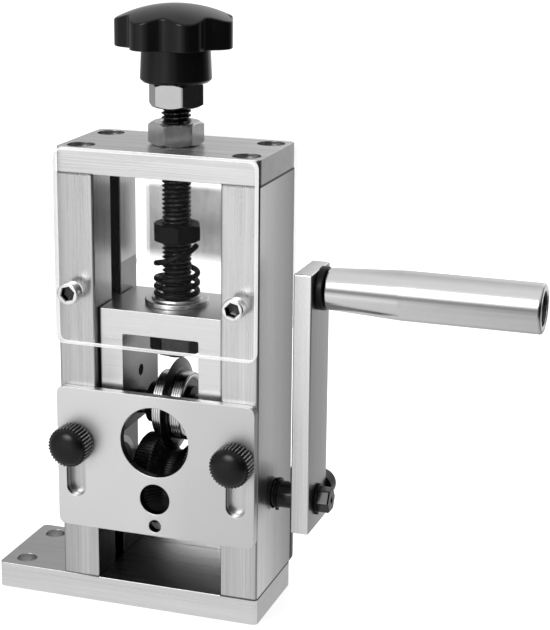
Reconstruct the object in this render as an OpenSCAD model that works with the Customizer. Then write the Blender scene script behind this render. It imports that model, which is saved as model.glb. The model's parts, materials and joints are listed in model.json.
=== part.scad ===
// Hand crank wire stripper. A crank turns a knurled roller that pulls the wire through,
// and a disc blade on a sprung carrier slits it from above.
// X runs from the ear of the base to the crank, Y from front to back, Z up from the bench.

/* [Frame] */
// Gap between the two columns
inner_w = 44; // [40:1:58]
// Depth of the base, the columns and the top plate
frame_d = 36; // [35:1:46]
// Width of one column
column_w = 13; // [12:0.5:16]
// Rounding of the columns' upright edges
column_edge_r = 1; // [0.5:0.1:2]
// Width of the groove in each column's inner face
groove_w = 7.6; // [7.4:0.1:9]
// Depth of that groove
groove_depth = 3.7; // [3.5:0.1:4.5]
// Thickness of the top plate
top_t = 8.5; // [7:0.5:12]
// Rounding of the corners of the base and the top plate
plate_corner_r = 2; // [1:0.5:4]

/* [Base plate] */
// Thickness of the base plate
base_t = 9; // [8:0.5:14]
// Length of the ear beside the left column
ear_l = 25; // [18:1:50]
// Diameter of the two fixing holes in the ear
ear_hole_d = 7; // [4:0.5:9]
// Distance from the two fixing holes' centres to the base plate's long edges
ear_hole_side = 6.5; // [5.5:0.5:10]
// Distance from the ear's end to the holes' centres
ear_hole_edge = 7.5; // [6:0.5:12]

/* [Frame screws] */
// Shank diameter of the screws that hold the columns
frame_screw_d = 5; // [4:0.5:6]
// Head diameter of those screws
frame_screw_head_d = 8.5; // [7:0.5:9]
// Head height of those screws
frame_screw_head_h = 4.5; // [3:0.5:5]
// Shank length below the head
frame_screw_l = 14; // [12:1:16]
// Depth of the heads below the plates' faces
frame_screw_sink = 1.5; // [0.3:0.1:2]
// Distance from those screws' centres to the front or the rear of the frame
frame_screw_edge = 6; // [5.5:0.5:7]

/* [Guards] */
// Step of the guards' sides behind the columns' outer faces
guard_inset = 0.25; // [0:0.05:1]
// Thickness of the clear guards
guard_t = 3; // [2:0.5:5]
// Corner rounding of the guards
guard_corner_r = 3; // [1:0.5:6]
// Height of the guard screws above the guard's lower edge
guard_screw_up = 18.1; // [8:0.5:30]
// Shank diameter of the guard screws
guard_screw_d = 4; // [3:0.5:5]
// Head diameter of the guard screws
guard_screw_head_d = 7.3; // [6:0.1:9]
// Head height of the guard screws
guard_screw_head_h = 4; // [3:0.5:5]
// Shank length of the guard screws
guard_screw_l = 11; // [8:0.5:13]
// Height of the low rear plate
rear_plate_h = 35; // [30:1:41]
// Thickness of the low rear plate
rear_plate_t = 3; // [2:0.5:5]

/* [Guide plate] */
// Height of the sliding guide plate
guide_h = 49; // [48:0.5:52]
// Thickness of the guide plate
guide_t = 3; // [2:0.5:5]
// Corner rounding of the guide plate
guide_corner_r = 3; // [1:0.5:5]
// Height of its lower edge above the base plate, when it is down
guide_up = 19.3; // [15:0.1:20]
// Diameter of the large feed hole
large_hole_d = 24; // [16:0.5:26]
// Height of the large feed hole above the plate's lower edge
large_hole_up = 33; // [32:0.5:35]
// Diameter of the middle feed hole
middle_hole_d = 10.5; // [7:0.5:12]
// Height of the middle feed hole above the lower edge
middle_hole_up = 13.1; // [12:0.1:14]
// Diameter of the small feed hole
small_hole_d = 4.3; // [2:0.1:5]
// Height of the small feed hole above the lower edge
small_hole_up = 3.6; // [3.5:0.1:4]
// Width of the two slots
slot_w = 6.7; // [6.5:0.1:8]
// How far the guide plate slides up
guide_travel = 14.5; // [8:0.5:14.5]

/* [Thumb screws] */
// Head diameter of the thumb screws
thumb_head_d = 14; // [10:0.1:14]
// Head length of the thumb screws
thumb_head_l = 9; // [6:0.5:12]
// Shank diameter of the thumb screws
thumb_shank_d = 6; // [5:0.5:6]
// Height of the thumb screws above the guide plate's lower edge
thumb_up = 30; // [29:0.5:31]
// How deep the thumb screws reach into the columns
thumb_grip_l = 11; // [8:0.5:12]
// Height of the head's domed end
thumb_dome_h = 2.4; // [0.5:0.1:2.5]

/* [Pressure screw] */
// Thread diameter of the pressure screw
rod_d = 9.8; // [8:0.1:10]
// Width across flats of the bright nuts
nut_af = 16; // [15:0.5:18]
// Height of the jam nut on the top plate
jam_nut_h = 7.5; // [5:0.5:9]
// Length of thread between the jam nut and the lock nut
rod_free_l = 4.8; // [3:0.1:8]
// Height of the lock nut under the knob
lock_nut_h = 8.1; // [5:0.1:9]
// Width across flats of the black spring stop nut
stop_nut_af = 15; // [14:0.5:17]
// Height of the spring stop nut
stop_nut_h = 6; // [5:0.5:9]
// Room above the spring stop nut, up to the top plate
stop_room = 17.7; // [14.6:0.1:45]
// Height of the nut inside the carrier
carrier_nut_h = 7.7; // [5:0.1:8]
// Length of thread below the carrier nut
rod_tail_l = 1.5; // [0.5:0.1:2]
// Depth of the screw in the knob
rod_in_knob_l = 16; // [10:0.5:19]

/* [Star knob] */
// Largest radius of the knob, over its lobes
knob_r = 19.8; // [18:0.1:26]
// Number of lobes
knob_lobes = 7; // [5:1:9]
// Radius of one lobe
knob_lobe_r = 5.4; // [4:0.1:6]
// Radius of the hollow between two lobes
knob_hollow_r = 5; // [3:0.1:6]
// Depth of the hollows below the lobes
knob_hollow_depth = 3.4; // [1:0.1:4]
// Diameter of the hub below the lobes
knob_hub_d = 23.4; // [20:0.2:28]
// Height of the hub
knob_hub_h = 11.4; // [6:0.1:14]
// Height of the lobes, up to the dome
knob_rim_h = 8.7; // [6:0.1:12]
// Height of the domed top over the lobes
knob_dome_h = 4.9; // [3:0.1:7]

/* [Spring] */
// Outer diameter of the compression spring
spring_od = 15.6; // [14.5:0.1:17]
// Wire diameter of the spring
wire_d = 1.9; // [1.2:0.1:1.9]
// Height of the spring as fitted
spring_l = 19; // [19:0.1:21]
// Diameter of the washer under the spring
washer_d = 21.4; // [18:0.1:24]
// Thickness of the washer
washer_t = 2.3; // [1:0.1:2.5]

/* [Blade carrier] */
// Gap between the carrier's sides and the columns
carrier_gap = 0.5; // [0.3:0.1:1]
// Step of the carrier behind the columns' front faces
carrier_inset = 2.75; // [1:0.25:5]
// Thickness of the carrier's bridge
bridge_t = 8.3; // [7:0.1:10]
// Thickness of one leg of the carrier
leg_t = 8.2; // [7:0.1:8.5]
// Height of the bridge's top above the blade axle
carrier_up = 35.8; // [35:0.1:37]
// Length of the legs below the axle's centre
leg_drop = 6.2; // [6:0.1:7]
// Width of the keys that run in the grooves
key_w = 7; // [5:0.1:7]
// Depth of the keys in the grooves
key_depth = 3.4; // [2:0.1:3.4]
// Diameter of the small hole through each leg
leg_hole_d = 4; // [2:0.5:5]
// Height of that hole above the blade axle
leg_hole_up = 10.8; // [9:0.1:14]

/* [Blade set] */
// Diameter of the slitting blade
blade_d = 32; // [28:0.5:32]
// Thickness of the slitting blade
blade_t = 1.8; // [1:0.1:2]
// Diameter of the blade axle
axle_d = 9; // [7:0.5:9]
// Outer diameter of the feed bearings
feed_od = 23.2; // [20:0.1:26]
// Width of one feed bearing
feed_w = 4.2; // [4:0.1:5]
// Diameter of the collar left of the blade set
collar_d = 14; // [12:0.5:16]
// Gap between the feed bearings and the roller
feed_gap = 0.3; // [0.3:0.1:2]

/* [Drive] */
// Height of the drive shaft above the base plate
shaft_up = 31.8; // [30:0.1:32]
// Diameter of the drive shaft
shaft_d = 9; // [8:0.5:9]
// Outer diameter of the knurled roller
roller_d = 31; // [26:0.5:31]
// Width of the roller
roller_w = 23.5; // [16:0.5:28]
// Width of the V groove at the roller's surface
vee_w = 12; // [8:0.5:14]
// Width of the V groove's floor
vee_floor_w = 2.4; // [2.2:0.1:4]
// Depth of the V groove
vee_depth = 4.9; // [4.5:0.1:6]
// Outer diameter of the shaft bearings
bearing_od = 26; // [24:0.5:28]
// Width of the shaft bearings
bearing_w = 8; // [6:0.5:9]
// How far the bearings stand proud of the columns
bearing_proud = 0.6; // [0:0.1:1]
// Width across flats of the shaft's hexagonal end
hex_af = 7.7; // [5:0.1:7.7]
// Length of the hexagonal end beyond the outer circlip
hex_l = 4; // [3:0.1:12]

/* [Crank] */
// Distance from the shaft to the handle
crank_r = 72.85; // [50:0.05:100]
// Thickness of the crank arm
arm_t = 6.1; // [5:0.1:10]
// Width of the crank arm
arm_w = 20; // [16:0.5:26]
// Length of the arm beyond the shaft's centre
arm_shaft_end = 9.4; // [8:0.1:12]
// Length of the arm beyond the handle's centre
arm_handle_end = 6.45; // [5:0.05:12]
// Gap between the right column and the arm
arm_gap = 8.9; // [6:0.1:14]
// Shank diameter of the clamp screw in the arm's edge
clamp_screw_d = 4; // [3:0.5:4]
// Head diameter of the clamp screw
clamp_head_d = 10; // [7:0.5:11]
// Head height of the clamp screw
clamp_head_h = 6; // [4:0.5:7]

/* [Handle] */
// Length of the turned grip
grip_l = 70.1; // [50:0.5:90]
// Grip diameter beside the arm
grip_small_d = 13.6; // [13:0.1:18]
// Grip diameter over its outer part
grip_d = 16.2; // [14:0.1:22]
// Length of the grip's tapered part
grip_taper_l = 25; // [10:0.5:35]
// Diameter of the handle screw
handle_screw_d = 6; // [4:0.5:7]
// Diameter of the bush between the arm and the grip
bush_d = 14.4; // [12:0.1:18]
// Width of that bush
bush_w = 2.4; // [1:0.1:4]

/* [Hidden] */

$fn = 96;
// Overrun of every cut
over = 1;
// Radial clearance of what turns or slides in a bore
run_clear = 0.05;
// Radial clearance of a screw's shank or a fixed seat in its bore
seat_clear = 0.02;
// Clearance between flat faces that slide
slide_clear = 0.1;
// Clearance between a turning piece and its neighbour
turn_clear = 0.3;
// Radial clearance of a screw's head in its recess
recess_clear = 0.3;
// Clearance of a screw's shank in a plate
hole_clear = 0.1;
// Step of the guards' top edge below the top plate
guard_drop = 0.2;
// How far the rear plate reaches down over the base plate's rear face
rear_plate_lap = 1;
// Gap between the guide plate, when it is up, and the front guard
guard_guide_clear = 0.4;
// Share of a screw's head that its hexagonal socket takes, across its flats
socket_share = 0.55;
// Share of the head's height that the socket reaches
socket_depth_share = 0.6;

frame_w = inner_w + 2 * column_w;
frame_half = frame_w / 2;
inner_x = inner_w / 2;
column_x = inner_x + column_w / 2;
front_y = -frame_d / 2;
rear_y = frame_d / 2;
frame_screw_y = rear_y - frame_screw_edge;
ear_hole_y = rear_y - ear_hole_side;
guard_w = frame_w - 2 * guard_inset;
carrier_w = 2 * (inner_x - carrier_gap);
carrier_d = frame_d - 2 * carrier_inset;
leg_in_x = carrier_w / 2 - leg_t;
feed_out_x = blade_t / 2 + feed_w;
// Share of the room between the left feed bearing and the leg that the collar fills
collar_share = 0.5;
collar_w = collar_share * (leg_in_x - feed_out_x);
rear_plate_z = base_t - rear_plate_lap;
rear_screw_z = base_t + (rear_plate_h - rear_plate_lap) / 2;
guide_bottom = base_t + guide_up;
guide_y = front_y - slide_clear;
thumb_z = guide_bottom + thumb_up;
thumb_y = guide_y - guide_t - 2 * slide_clear;
// Room above a thumb screw in its slot, and below it when the guide plate is up
slot_high_room = 0.4;
slot_low_room = 1.45;
slot_high_z = thumb_z + slot_high_room;
slot_low_z = thumb_z - guide_travel - slot_low_room;

shaft_z = base_t + shaft_up;
roller_r = roller_d / 2;
axle_z = shaft_z + roller_r + feed_gap + feed_od / 2;
carrier_top = axle_z + carrier_up;
bridge_bottom = carrier_top - bridge_t;
leg_bottom = axle_z - leg_drop;
// How far the keys reach out of the carrier's sides
key_reach = carrier_gap + key_depth;
washer_top = carrier_top + washer_t;
stop_nut_z = washer_top + spring_l;
column_top = stop_nut_z + stop_nut_h + stop_room;
column_h = column_top - base_t;
top_z = column_top + top_t;
guard_top = top_z - guard_drop;
guard_bottom = guide_bottom + guide_h + guide_travel + guard_guide_clear;
guard_h = guard_top - guard_bottom;
guard_screw_z = guard_bottom + guard_screw_up;
// Room between the carrier nut and the bridge
carrier_nut_gap = 0.7;
carrier_nut_z = bridge_bottom - carrier_nut_gap - carrier_nut_h;
rod_bottom = carrier_nut_z - rod_tail_l;
lock_nut_z = top_z + jam_nut_h + rod_free_l;
knob_z = lock_nut_z + lock_nut_h;
rod_top = knob_z + rod_in_knob_l;

arm_x = frame_half + arm_gap;
arm_out_x = arm_x + arm_t;
handle_z = shaft_z + crank_r;
grip_x = arm_out_x + bush_w + turn_clear;

// Turn of each nut on the screw, so that its flats face as fitted
jam_nut_turn = 24.7;
lock_nut_turn = 4.4;
stop_nut_turn = 54;
carrier_nut_turn = 17;
// Raised middle of the washer, its diameter and height
washer_boss_d = 17;
washer_boss_h = 0.6;

// Step round the dome of a thumb screw
thumb_edge = 0.6;

// Circlips: thickness, depth of their grooves, width of their open side
clip_t = 1;
clip_groove = 0.4;
clip_gap_w = 4;
shaft_clip_d = 11.2;
outer_clip_d = 10.6;
axle_clip_d = 14;
axle_clip_t = 0.85;
// Distance of the inner circlip from the column
shaft_clip_gap = 1;

// Bearings: radial thickness of the rings and of the seal, size of the balls
bearing_ring_t = 2.3;
bearing_ball_d = 4;
bearing_balls = 8;
bearing_seal_t = 0.8;
feed_ring_t = 2;
feed_ball_d = 2.8;
feed_balls = 10;
feed_shield_t = 0.5;
// Room of the balls in their races
ball_clear = 0.05;
// Length of shaft beyond the left bearing
shaft_left_l = 3;
// Diameter of the bore behind the shaft bearings
shaft_hole_d = 16;
shaft_left_x = -inner_x - bearing_w + bearing_proud - shaft_left_l;
shaft_clip_x = frame_half + shaft_clip_gap;
hex_x = arm_out_x + clip_t;
// Chamfer of the roller's rims
roller_chamfer = 0.5;
// Width of the blade's ground edge and the thickness left at its rim
blade_bevel = 3;
blade_edge_t = 0.2;

// Knob: slope of its hub, chamfer of the hub
knob_hub_slope = 0.5;
knob_hub_chamfer = 1;
// Direction of the knob's first lobe
knob_turn = 200;

// Handle screw: its head and the recess in the grip
handle_head_d = 10;
handle_head_h = 5;
grip_recess_clear = 0.6;
grip_recess_l = 6.5;
grip_chamfer = 0.8;

// Spring: rings of a turn, sides of the wire, half turns, and the rise of each as a share
spring_rings = 8;
wire_sides = 6;
spring_rise_shares = [0, 0.027, 0.139, 0.203, 0.295, 0.396, 0.581, 1];
spring_half_turns = len(spring_rise_shares) - 1;
spring_steps = spring_half_turns * spring_rings / 2;
spring_mean_r = (spring_od - wire_d) / 2;
spring_start = 180;
// Play between the spring's ends and what they rest on
spring_end_play = 0.02;
spring_low_z = washer_top + spring_end_play + wire_d / 2;
spring_rise = spring_l - spring_end_play - turn_clear - wire_d;

// Height of the wire's middle after a number of steps, along the table of shares
function spring_share(step) =
    let (half = 2 * step / spring_rings, low = min(floor(half), spring_half_turns - 1))
    spring_rise_shares[low] + (half - low) * (spring_rise_shares[low + 1] - spring_rise_shares[low]);

// Point of the wire's middle after a number of steps
function spring_point(step) =
    let (a = spring_start + step * 360 / spring_rings)
    [spring_mean_r * cos(a), spring_mean_r * sin(a), spring_low_z + spring_rise * spring_share(step)];

// Direction in which the wire runs at its start and at its end
function spring_run(step) =
    let (a = spring_start + step * 360 / spring_rings)
    [-sin(a), cos(a), 0];

spring_path = concat(
    [spring_point(0) - wire_d * spring_run(0)],
    [for (step = [0 : spring_steps]) spring_point(step)],
    [spring_point(spring_steps) + wire_d * spring_run(spring_steps)]);

function unit(v) = v / norm(v);

// Corners of the wire's cross-section round one point of its path
function wire_ring(i) =
    let (
        last = len(spring_path) - 1,
        p = spring_path[i],
        along = unit(spring_path[min(i + 1, last)] - spring_path[max(i - 1, 0)]),
        step = min(max(i - 1, 0), spring_steps),
        a = spring_start + step * 360 / spring_rings,
        radial = [cos(a), sin(a), 0],
        side = unit(cross(along, radial)),
        out = cross(side, along))
    [for (k = [0 : wire_sides - 1])
        let (b = 360 * k / wire_sides) p + wire_d / 2 * (cos(b) * out + sin(b) * side)];

// Least gap between turns, between points more than half a turn apart
spring_gap = min([for (i = [0 : len(spring_path) - 1])
    for (j = [i + spring_rings / 2 + 1 : 1 : len(spring_path) - 1])
        norm(spring_path[i] - spring_path[j]) - wire_d]);
echo(least_gap_of_the_spring_mm = spring_gap);

// Turns a shape so that what pointed up points along X, or to the front, or to the back
module to_x() { rotate([0, 90, 0]) children(); }
module to_front() { rotate([90, 0, 0]) children(); }
module to_rear() { rotate([-90, 0, 0]) children(); }

// Repeats a shape on the left and on the right, mirrored
module both_sides() {
    children();
    mirror([1, 0, 0]) children();
}

// Repeats a shape at the four screws of the columns
module at_frame_screws() {
    for (x = [-column_x, column_x])
        for (y = [-frame_screw_y, frame_screw_y])
            translate([x, y, 0]) children();
}

// Flat outline with four round corners, centred
module rounded_outline(w, h, r) {
    square([w - 2 * r, h], center = true);
    square([w, h - 2 * r], center = true);
    for (x = [-1, 1])
        for (y = [-1, 1])
            translate([x * (w / 2 - r), y * (h / 2 - r)]) circle(r = r);
}

// Upright plate with its outer face at y, growing backwards
module upright_plate(w, h, t, r, y, z) {
    translate([0, y + t, z + h / 2]) to_front() linear_extrude(t) rounded_outline(w, h, r);
}

// Screw with a socket in its head, head down at zero and shank below it
module cap_screw(head_d, head_h, shank_d, shank_l) {
    difference() {
        union() {
            cylinder(d = head_d, h = head_h);
            translate([0, 0, -shank_l]) cylinder(d = shank_d - 2 * seat_clear, h = shank_l);
        }
        translate([0, 0, head_h * (1 - socket_depth_share)])
            cylinder(d = head_d * socket_share / cos(30), h = head_h, $fn = 6);
    }
}

// Hexagonal nut, its corners cut back by a cone above and below
module hex_nut(af, h, bore, turn) {
    corner = af / cos(30);
    drop = (corner - af) / 2 * tan(30);
    difference() {
        intersection() {
            rotate(turn) cylinder(d = corner, h = h, $fn = 6);
            rotate_extrude() polygon([[0, 0], [af / 2, 0], [corner / 2, drop],
                [corner / 2, h - drop], [af / 2, h], [0, h]]);
        }
        translate([0, 0, -over]) cylinder(d = bore, h = h + 2 * over);
    }
}

// Ring that lies flat, from zero up
module ring(outer_d, inner_d, h) {
    difference() {
        cylinder(d = outer_d, h = h);
        translate([0, 0, -over]) cylinder(d = inner_d, h = h + 2 * over);
    }
}

// Spring ring that snaps into a groove, open below
module circlip(d, bore, t) {
    difference() {
        ring(d, bore, t);
        translate([0, -clip_gap_w / 2, -over]) cube([d, clip_gap_w, t + 2 * over]);
    }
}

// Room that the balls take in their rings, at half the bearing's width
module race(mid_r, ball, w) {
    translate([0, 0, w / 2]) rotate_extrude() translate([mid_r, 0]) circle(d = ball + 2 * ball_clear);
}

module outer_race(od, ring_t, ball, mid_r, w) {
    difference() {
        ring(od, od - 2 * ring_t, w);
        race(mid_r, ball, w);
    }
}

module inner_race(bore, ring_t, ball, mid_r, w) {
    difference() {
        ring(bore + 2 * ring_t, bore, w);
        race(mid_r, ball, w);
    }
}

module ball_set(count, ball, mid_r, w) {
    for (i = [0 : count - 1])
        rotate(360 * i / count) translate([mid_r, 0, w / 2]) sphere(d = ball, $fn = 48);
}

// Sizes of the bearings, worked out from their rings
bearing_mid_r = (bearing_od / 2 - bearing_ring_t + shaft_d / 2 + bearing_ring_t) / 2;
feed_bore_r = axle_d / 2 + seat_clear;
feed_mid_r = (feed_od / 2 - feed_ring_t + axle_d / 2 + feed_ring_t) / 2;

module base_plate() {
    color([0.72, 0.72, 0.74])
    difference() {
        translate([-ear_l / 2, 0, 0])
            linear_extrude(base_t) rounded_outline(frame_w + ear_l, frame_d, plate_corner_r);
        for (y = [-ear_hole_y, ear_hole_y])
            translate([ear_hole_edge - frame_half - ear_l, y, -over])
                cylinder(d = ear_hole_d, h = base_t + 2 * over);
        at_frame_screws() {
            translate([0, 0, -over]) cylinder(d = frame_screw_d + 2 * hole_clear, h = base_t + 2 * over);
            translate([0, 0, -over])
                cylinder(d = frame_screw_head_d + 2 * recess_clear,
                    h = frame_screw_head_h + frame_screw_sink + over);
        }
    }
}

// Right column, which the left one mirrors
module column() {
    screw_depth = frame_screw_l - (top_t - frame_screw_head_h - frame_screw_sink) + over;
    base_depth = frame_screw_l - (base_t - frame_screw_head_h - frame_screw_sink) + over;
    color([0.78, 0.78, 0.8])
    difference() {
        translate([column_x, 0, base_t])
            linear_extrude(column_h) rounded_outline(column_w, frame_d, column_edge_r);
        translate([inner_x - over, -groove_w / 2, base_t - over])
            cube([groove_depth + over, groove_w, column_h + 2 * over]);
        translate([inner_x - over, 0, shaft_z]) to_x()
            cylinder(d = bearing_od + 2 * seat_clear, h = bearing_w - bearing_proud + over);
        translate([inner_x - over, 0, shaft_z]) to_x()
            cylinder(d = shaft_hole_d, h = column_w + 2 * over);
        for (y = [-frame_screw_y, frame_screw_y]) {
            translate([column_x, y, column_top - screw_depth])
                cylinder(d = frame_screw_d, h = screw_depth + over);
            translate([column_x, y, base_t - over])
                cylinder(d = frame_screw_d, h = base_depth + over);
        }
        translate([column_x, front_y - over, guard_screw_z]) to_rear()
            cylinder(d = guard_screw_d, h = guard_screw_l - guard_t + 2 * over);
        translate([column_x, rear_y + over, guard_screw_z]) to_front()
            cylinder(d = guard_screw_d, h = guard_screw_l - guard_t + 2 * over);
        translate([column_x, rear_y + over, rear_screw_z]) to_front()
            cylinder(d = guard_screw_d, h = guard_screw_l - rear_plate_t + 2 * over);
        translate([column_x, front_y - over, thumb_z]) to_rear()
            cylinder(d = thumb_shank_d, h = thumb_grip_l + 2 * over);
    }
}

module left_column() { mirror([1, 0, 0]) column(); }
module right_column() { column(); }

module top_plate() {
    color([0.74, 0.74, 0.76])
    difference() {
        translate([0, 0, column_top]) linear_extrude(top_t)
            rounded_outline(frame_w, frame_d, plate_corner_r);
        translate([0, 0, column_top - over]) cylinder(d = rod_d + 2 * run_clear, h = top_t + 2 * over);
        at_frame_screws() {
            translate([0, 0, column_top - over])
                cylinder(d = frame_screw_d + 2 * hole_clear, h = top_t + 2 * over);
            translate([0, 0, top_z - frame_screw_head_h - frame_screw_sink])
                cylinder(d = frame_screw_head_d + 2 * recess_clear,
                    h = frame_screw_head_h + frame_screw_sink + over);
        }
    }
}

module top_screws() {
    color([0.8, 0.8, 0.8])
    at_frame_screws() translate([0, 0, top_z - frame_screw_head_h - frame_screw_sink])
        cap_screw(frame_screw_head_d, frame_screw_head_h, frame_screw_d, frame_screw_l);
}

module base_screws() {
    color([0.25, 0.25, 0.26])
    at_frame_screws() translate([0, 0, frame_screw_head_h + frame_screw_sink]) rotate([180, 0, 0])
        cap_screw(frame_screw_head_d, frame_screw_head_h, frame_screw_d, frame_screw_l);
}

// Clear guard whose outer face is at y, growing backwards
module guard(y) {
    difference() {
        upright_plate(guard_w, guard_h, guard_t, guard_corner_r, y, guard_bottom);
        for (x = [-column_x, column_x])
            translate([x, y - over, guard_screw_z]) to_rear()
                cylinder(d = guard_screw_d + 2 * hole_clear, h = guard_t + 2 * over);
    }
}

module front_guard() { color([0.85, 0.9, 0.95, 0.3]) guard(front_y - guard_t); }
module rear_guard() { color([0.85, 0.9, 0.95, 0.3]) guard(rear_y); }

module front_guard_screws() {
    color([0.75, 0.75, 0.75])
    for (x = [-column_x, column_x])
        translate([x, front_y - guard_t, guard_screw_z]) to_front()
            cap_screw(guard_screw_head_d, guard_screw_head_h, guard_screw_d, guard_screw_l);
}

module rear_guard_screws() {
    color([0.75, 0.75, 0.75])
    for (x = [-column_x, column_x])
        translate([x, rear_y + guard_t, guard_screw_z]) to_rear()
            cap_screw(guard_screw_head_d, guard_screw_head_h, guard_screw_d, guard_screw_l);
}

module rear_plate() {
    color([0.7, 0.7, 0.72])
    difference() {
        upright_plate(frame_w, rear_plate_h, rear_plate_t, plate_corner_r, rear_y, rear_plate_z);
        for (x = [-column_x, column_x])
            translate([x, rear_y - over, rear_screw_z]) to_rear()
                cylinder(d = guard_screw_d + 2 * hole_clear, h = rear_plate_t + 2 * over);
    }
}

module rear_plate_screws() {
    color([0.75, 0.75, 0.75])
    for (x = [-column_x, column_x])
        translate([x, rear_y + rear_plate_t, rear_screw_z]) to_rear()
            cap_screw(guard_screw_head_d, guard_screw_head_h, guard_screw_d, guard_screw_l);
}

module jam_nut() {
    color([0.82, 0.82, 0.82])
    translate([0, 0, top_z]) hex_nut(nut_af, jam_nut_h, rod_d + 2 * run_clear, jam_nut_turn);
}

// Right shaft bearing, which the left one mirrors
module at_bearing() { translate([inner_x - bearing_proud, 0, shaft_z]) to_x() children(); }

module bearing_outer() {
    color([0.8, 0.8, 0.8])
    at_bearing() outer_race(bearing_od, bearing_ring_t, bearing_ball_d, bearing_mid_r, bearing_w);
}

module bearing_inner() {
    color([0.8, 0.8, 0.8])
    at_bearing() inner_race(shaft_d + 2 * seat_clear, bearing_ring_t, bearing_ball_d, bearing_mid_r,
        bearing_w);
}

module bearing_seals() {
    outer = bearing_od - 2 * bearing_ring_t - 2 * seat_clear;
    inner = shaft_d + 2 * seat_clear + 2 * bearing_ring_t + 2 * run_clear;
    color([0.08, 0.08, 0.08])
    at_bearing()
        for (z = [0, bearing_w - bearing_seal_t])
            translate([0, 0, z]) ring(outer, inner, bearing_seal_t);
}

module bearing_ball_ring() {
    color([0.85, 0.85, 0.85])
    at_bearing() ball_set(bearing_balls, bearing_ball_d, bearing_mid_r, bearing_w);
}

module left_bearing_outer() { mirror([1, 0, 0]) bearing_outer(); }
module left_bearing_seals() { mirror([1, 0, 0]) bearing_seals(); }
module left_bearing_balls() { mirror([1, 0, 0]) bearing_ball_ring(); }
module left_bearing_inner() { mirror([1, 0, 0]) bearing_inner(); }
module right_bearing_outer() { bearing_outer(); }
module right_bearing_seals() { bearing_seals(); }
module right_bearing_balls() { bearing_ball_ring(); }
module right_bearing_inner() { bearing_inner(); }

module guide_plate() {
    color([0.75, 0.75, 0.76])
    difference() {
        upright_plate(frame_w, guide_h, guide_t, guide_corner_r, guide_y - guide_t, guide_bottom);
        guide_hole(large_hole_d, large_hole_up);
        guide_hole(middle_hole_d, middle_hole_up);
        guide_hole(small_hole_d, small_hole_up);
        for (x = [-column_x, column_x]) {
            guide_slot_end(x, slot_high_z);
            guide_slot_end(x, slot_low_z);
            translate([x - slot_w / 2, guide_y - guide_t - over, slot_low_z])
                cube([slot_w, guide_t + 2 * over, slot_high_z - slot_low_z]);
        }
    }
}

module guide_hole(d, up) {
    translate([0, guide_y + over, guide_bottom + up]) to_front()
        cylinder(d = d, h = guide_t + 2 * over);
}

module guide_slot_end(x, z) {
    translate([x, guide_y + over, z]) to_front() cylinder(d = slot_w, h = guide_t + 2 * over);
}

// Domed, turned head with its shank, round one column's middle
module thumb_screw(x) {
    shank_l = front_y - thumb_y + thumb_grip_l;
    rim = thumb_head_l - thumb_dome_h;
    face_r = thumb_head_d / 2 - thumb_edge;
    dome_r = (face_r * face_r + thumb_dome_h * thumb_dome_h) / (2 * thumb_dome_h);
    color([0.12, 0.12, 0.12])
    translate([x, thumb_y, thumb_z]) to_front() {
        cylinder(d = thumb_head_d, h = rim);
        translate([0, 0, rim]) intersection() {
            cylinder(r = face_r, h = thumb_dome_h);
            translate([0, 0, thumb_dome_h - dome_r]) sphere(r = dome_r);
        }
        translate([0, 0, -shank_l]) cylinder(d = thumb_shank_d - 2 * run_clear, h = shank_l);
    }
}

module left_thumb_screw() { thumb_screw(-column_x); }
module right_thumb_screw() { thumb_screw(column_x); }

module pressure_screw() {
    color([0.13, 0.13, 0.13])
    translate([0, 0, rod_bottom]) cylinder(d = rod_d, h = rod_top - rod_bottom);
}

// Outline of the knob's lobes, with hollows between them
module knob_outline() {
    lobe_at = knob_r - knob_lobe_r;
    hollow_at = knob_r - knob_hollow_depth + knob_hollow_r;
    difference() {
        circle(r = knob_r - knob_hollow_depth / 2);
        for (i = [0 : knob_lobes - 1])
            rotate(knob_turn + 360 * (i + 1 / 2) / knob_lobes)
                translate([hollow_at, 0]) circle(r = knob_hollow_r);
    }
    for (i = [0 : knob_lobes - 1])
        rotate(knob_turn + 360 * i / knob_lobes) translate([lobe_at, 0]) circle(r = knob_lobe_r);
}

module star_knob() {
    hub_r = knob_hub_d / 2;
    hub_top_r = hub_r - knob_hub_slope;
    rim_z = knob_z + knob_hub_h;
    dome_h = knob_rim_h + knob_dome_h;
    dome_r = (knob_r * knob_r + knob_dome_h * knob_dome_h) / (2 * knob_dome_h);
    color([0.07, 0.07, 0.07])
    difference() {
        union() {
            translate([0, 0, knob_z]) rotate_extrude()
                polygon([[0, 0], [hub_r - knob_hub_chamfer, 0], [hub_r, knob_hub_chamfer],
                    [hub_top_r, knob_hub_h], [0, knob_hub_h]]);
            translate([0, 0, rim_z]) intersection() {
                linear_extrude(dome_h + over) knob_outline();
                translate([0, 0, dome_h - dome_r]) sphere(r = dome_r);
            }
        }
        translate([0, 0, knob_z - over])
            cylinder(d = rod_d + 2 * seat_clear, h = rod_in_knob_l + over);
    }
}

module lock_nut() {
    color([0.82, 0.82, 0.82])
    translate([0, 0, lock_nut_z]) hex_nut(nut_af, lock_nut_h, rod_d + 2 * seat_clear, lock_nut_turn);
}

module spring_stop_nut() {
    color([0.15, 0.15, 0.15])
    translate([0, 0, stop_nut_z])
        hex_nut(stop_nut_af, stop_nut_h, rod_d + 2 * seat_clear, stop_nut_turn);
}

module carrier_nut() {
    color([0.3, 0.3, 0.32])
    translate([0, 0, carrier_nut_z])
        hex_nut(nut_af, carrier_nut_h, rod_d + 2 * seat_clear, carrier_nut_turn);
}

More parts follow.
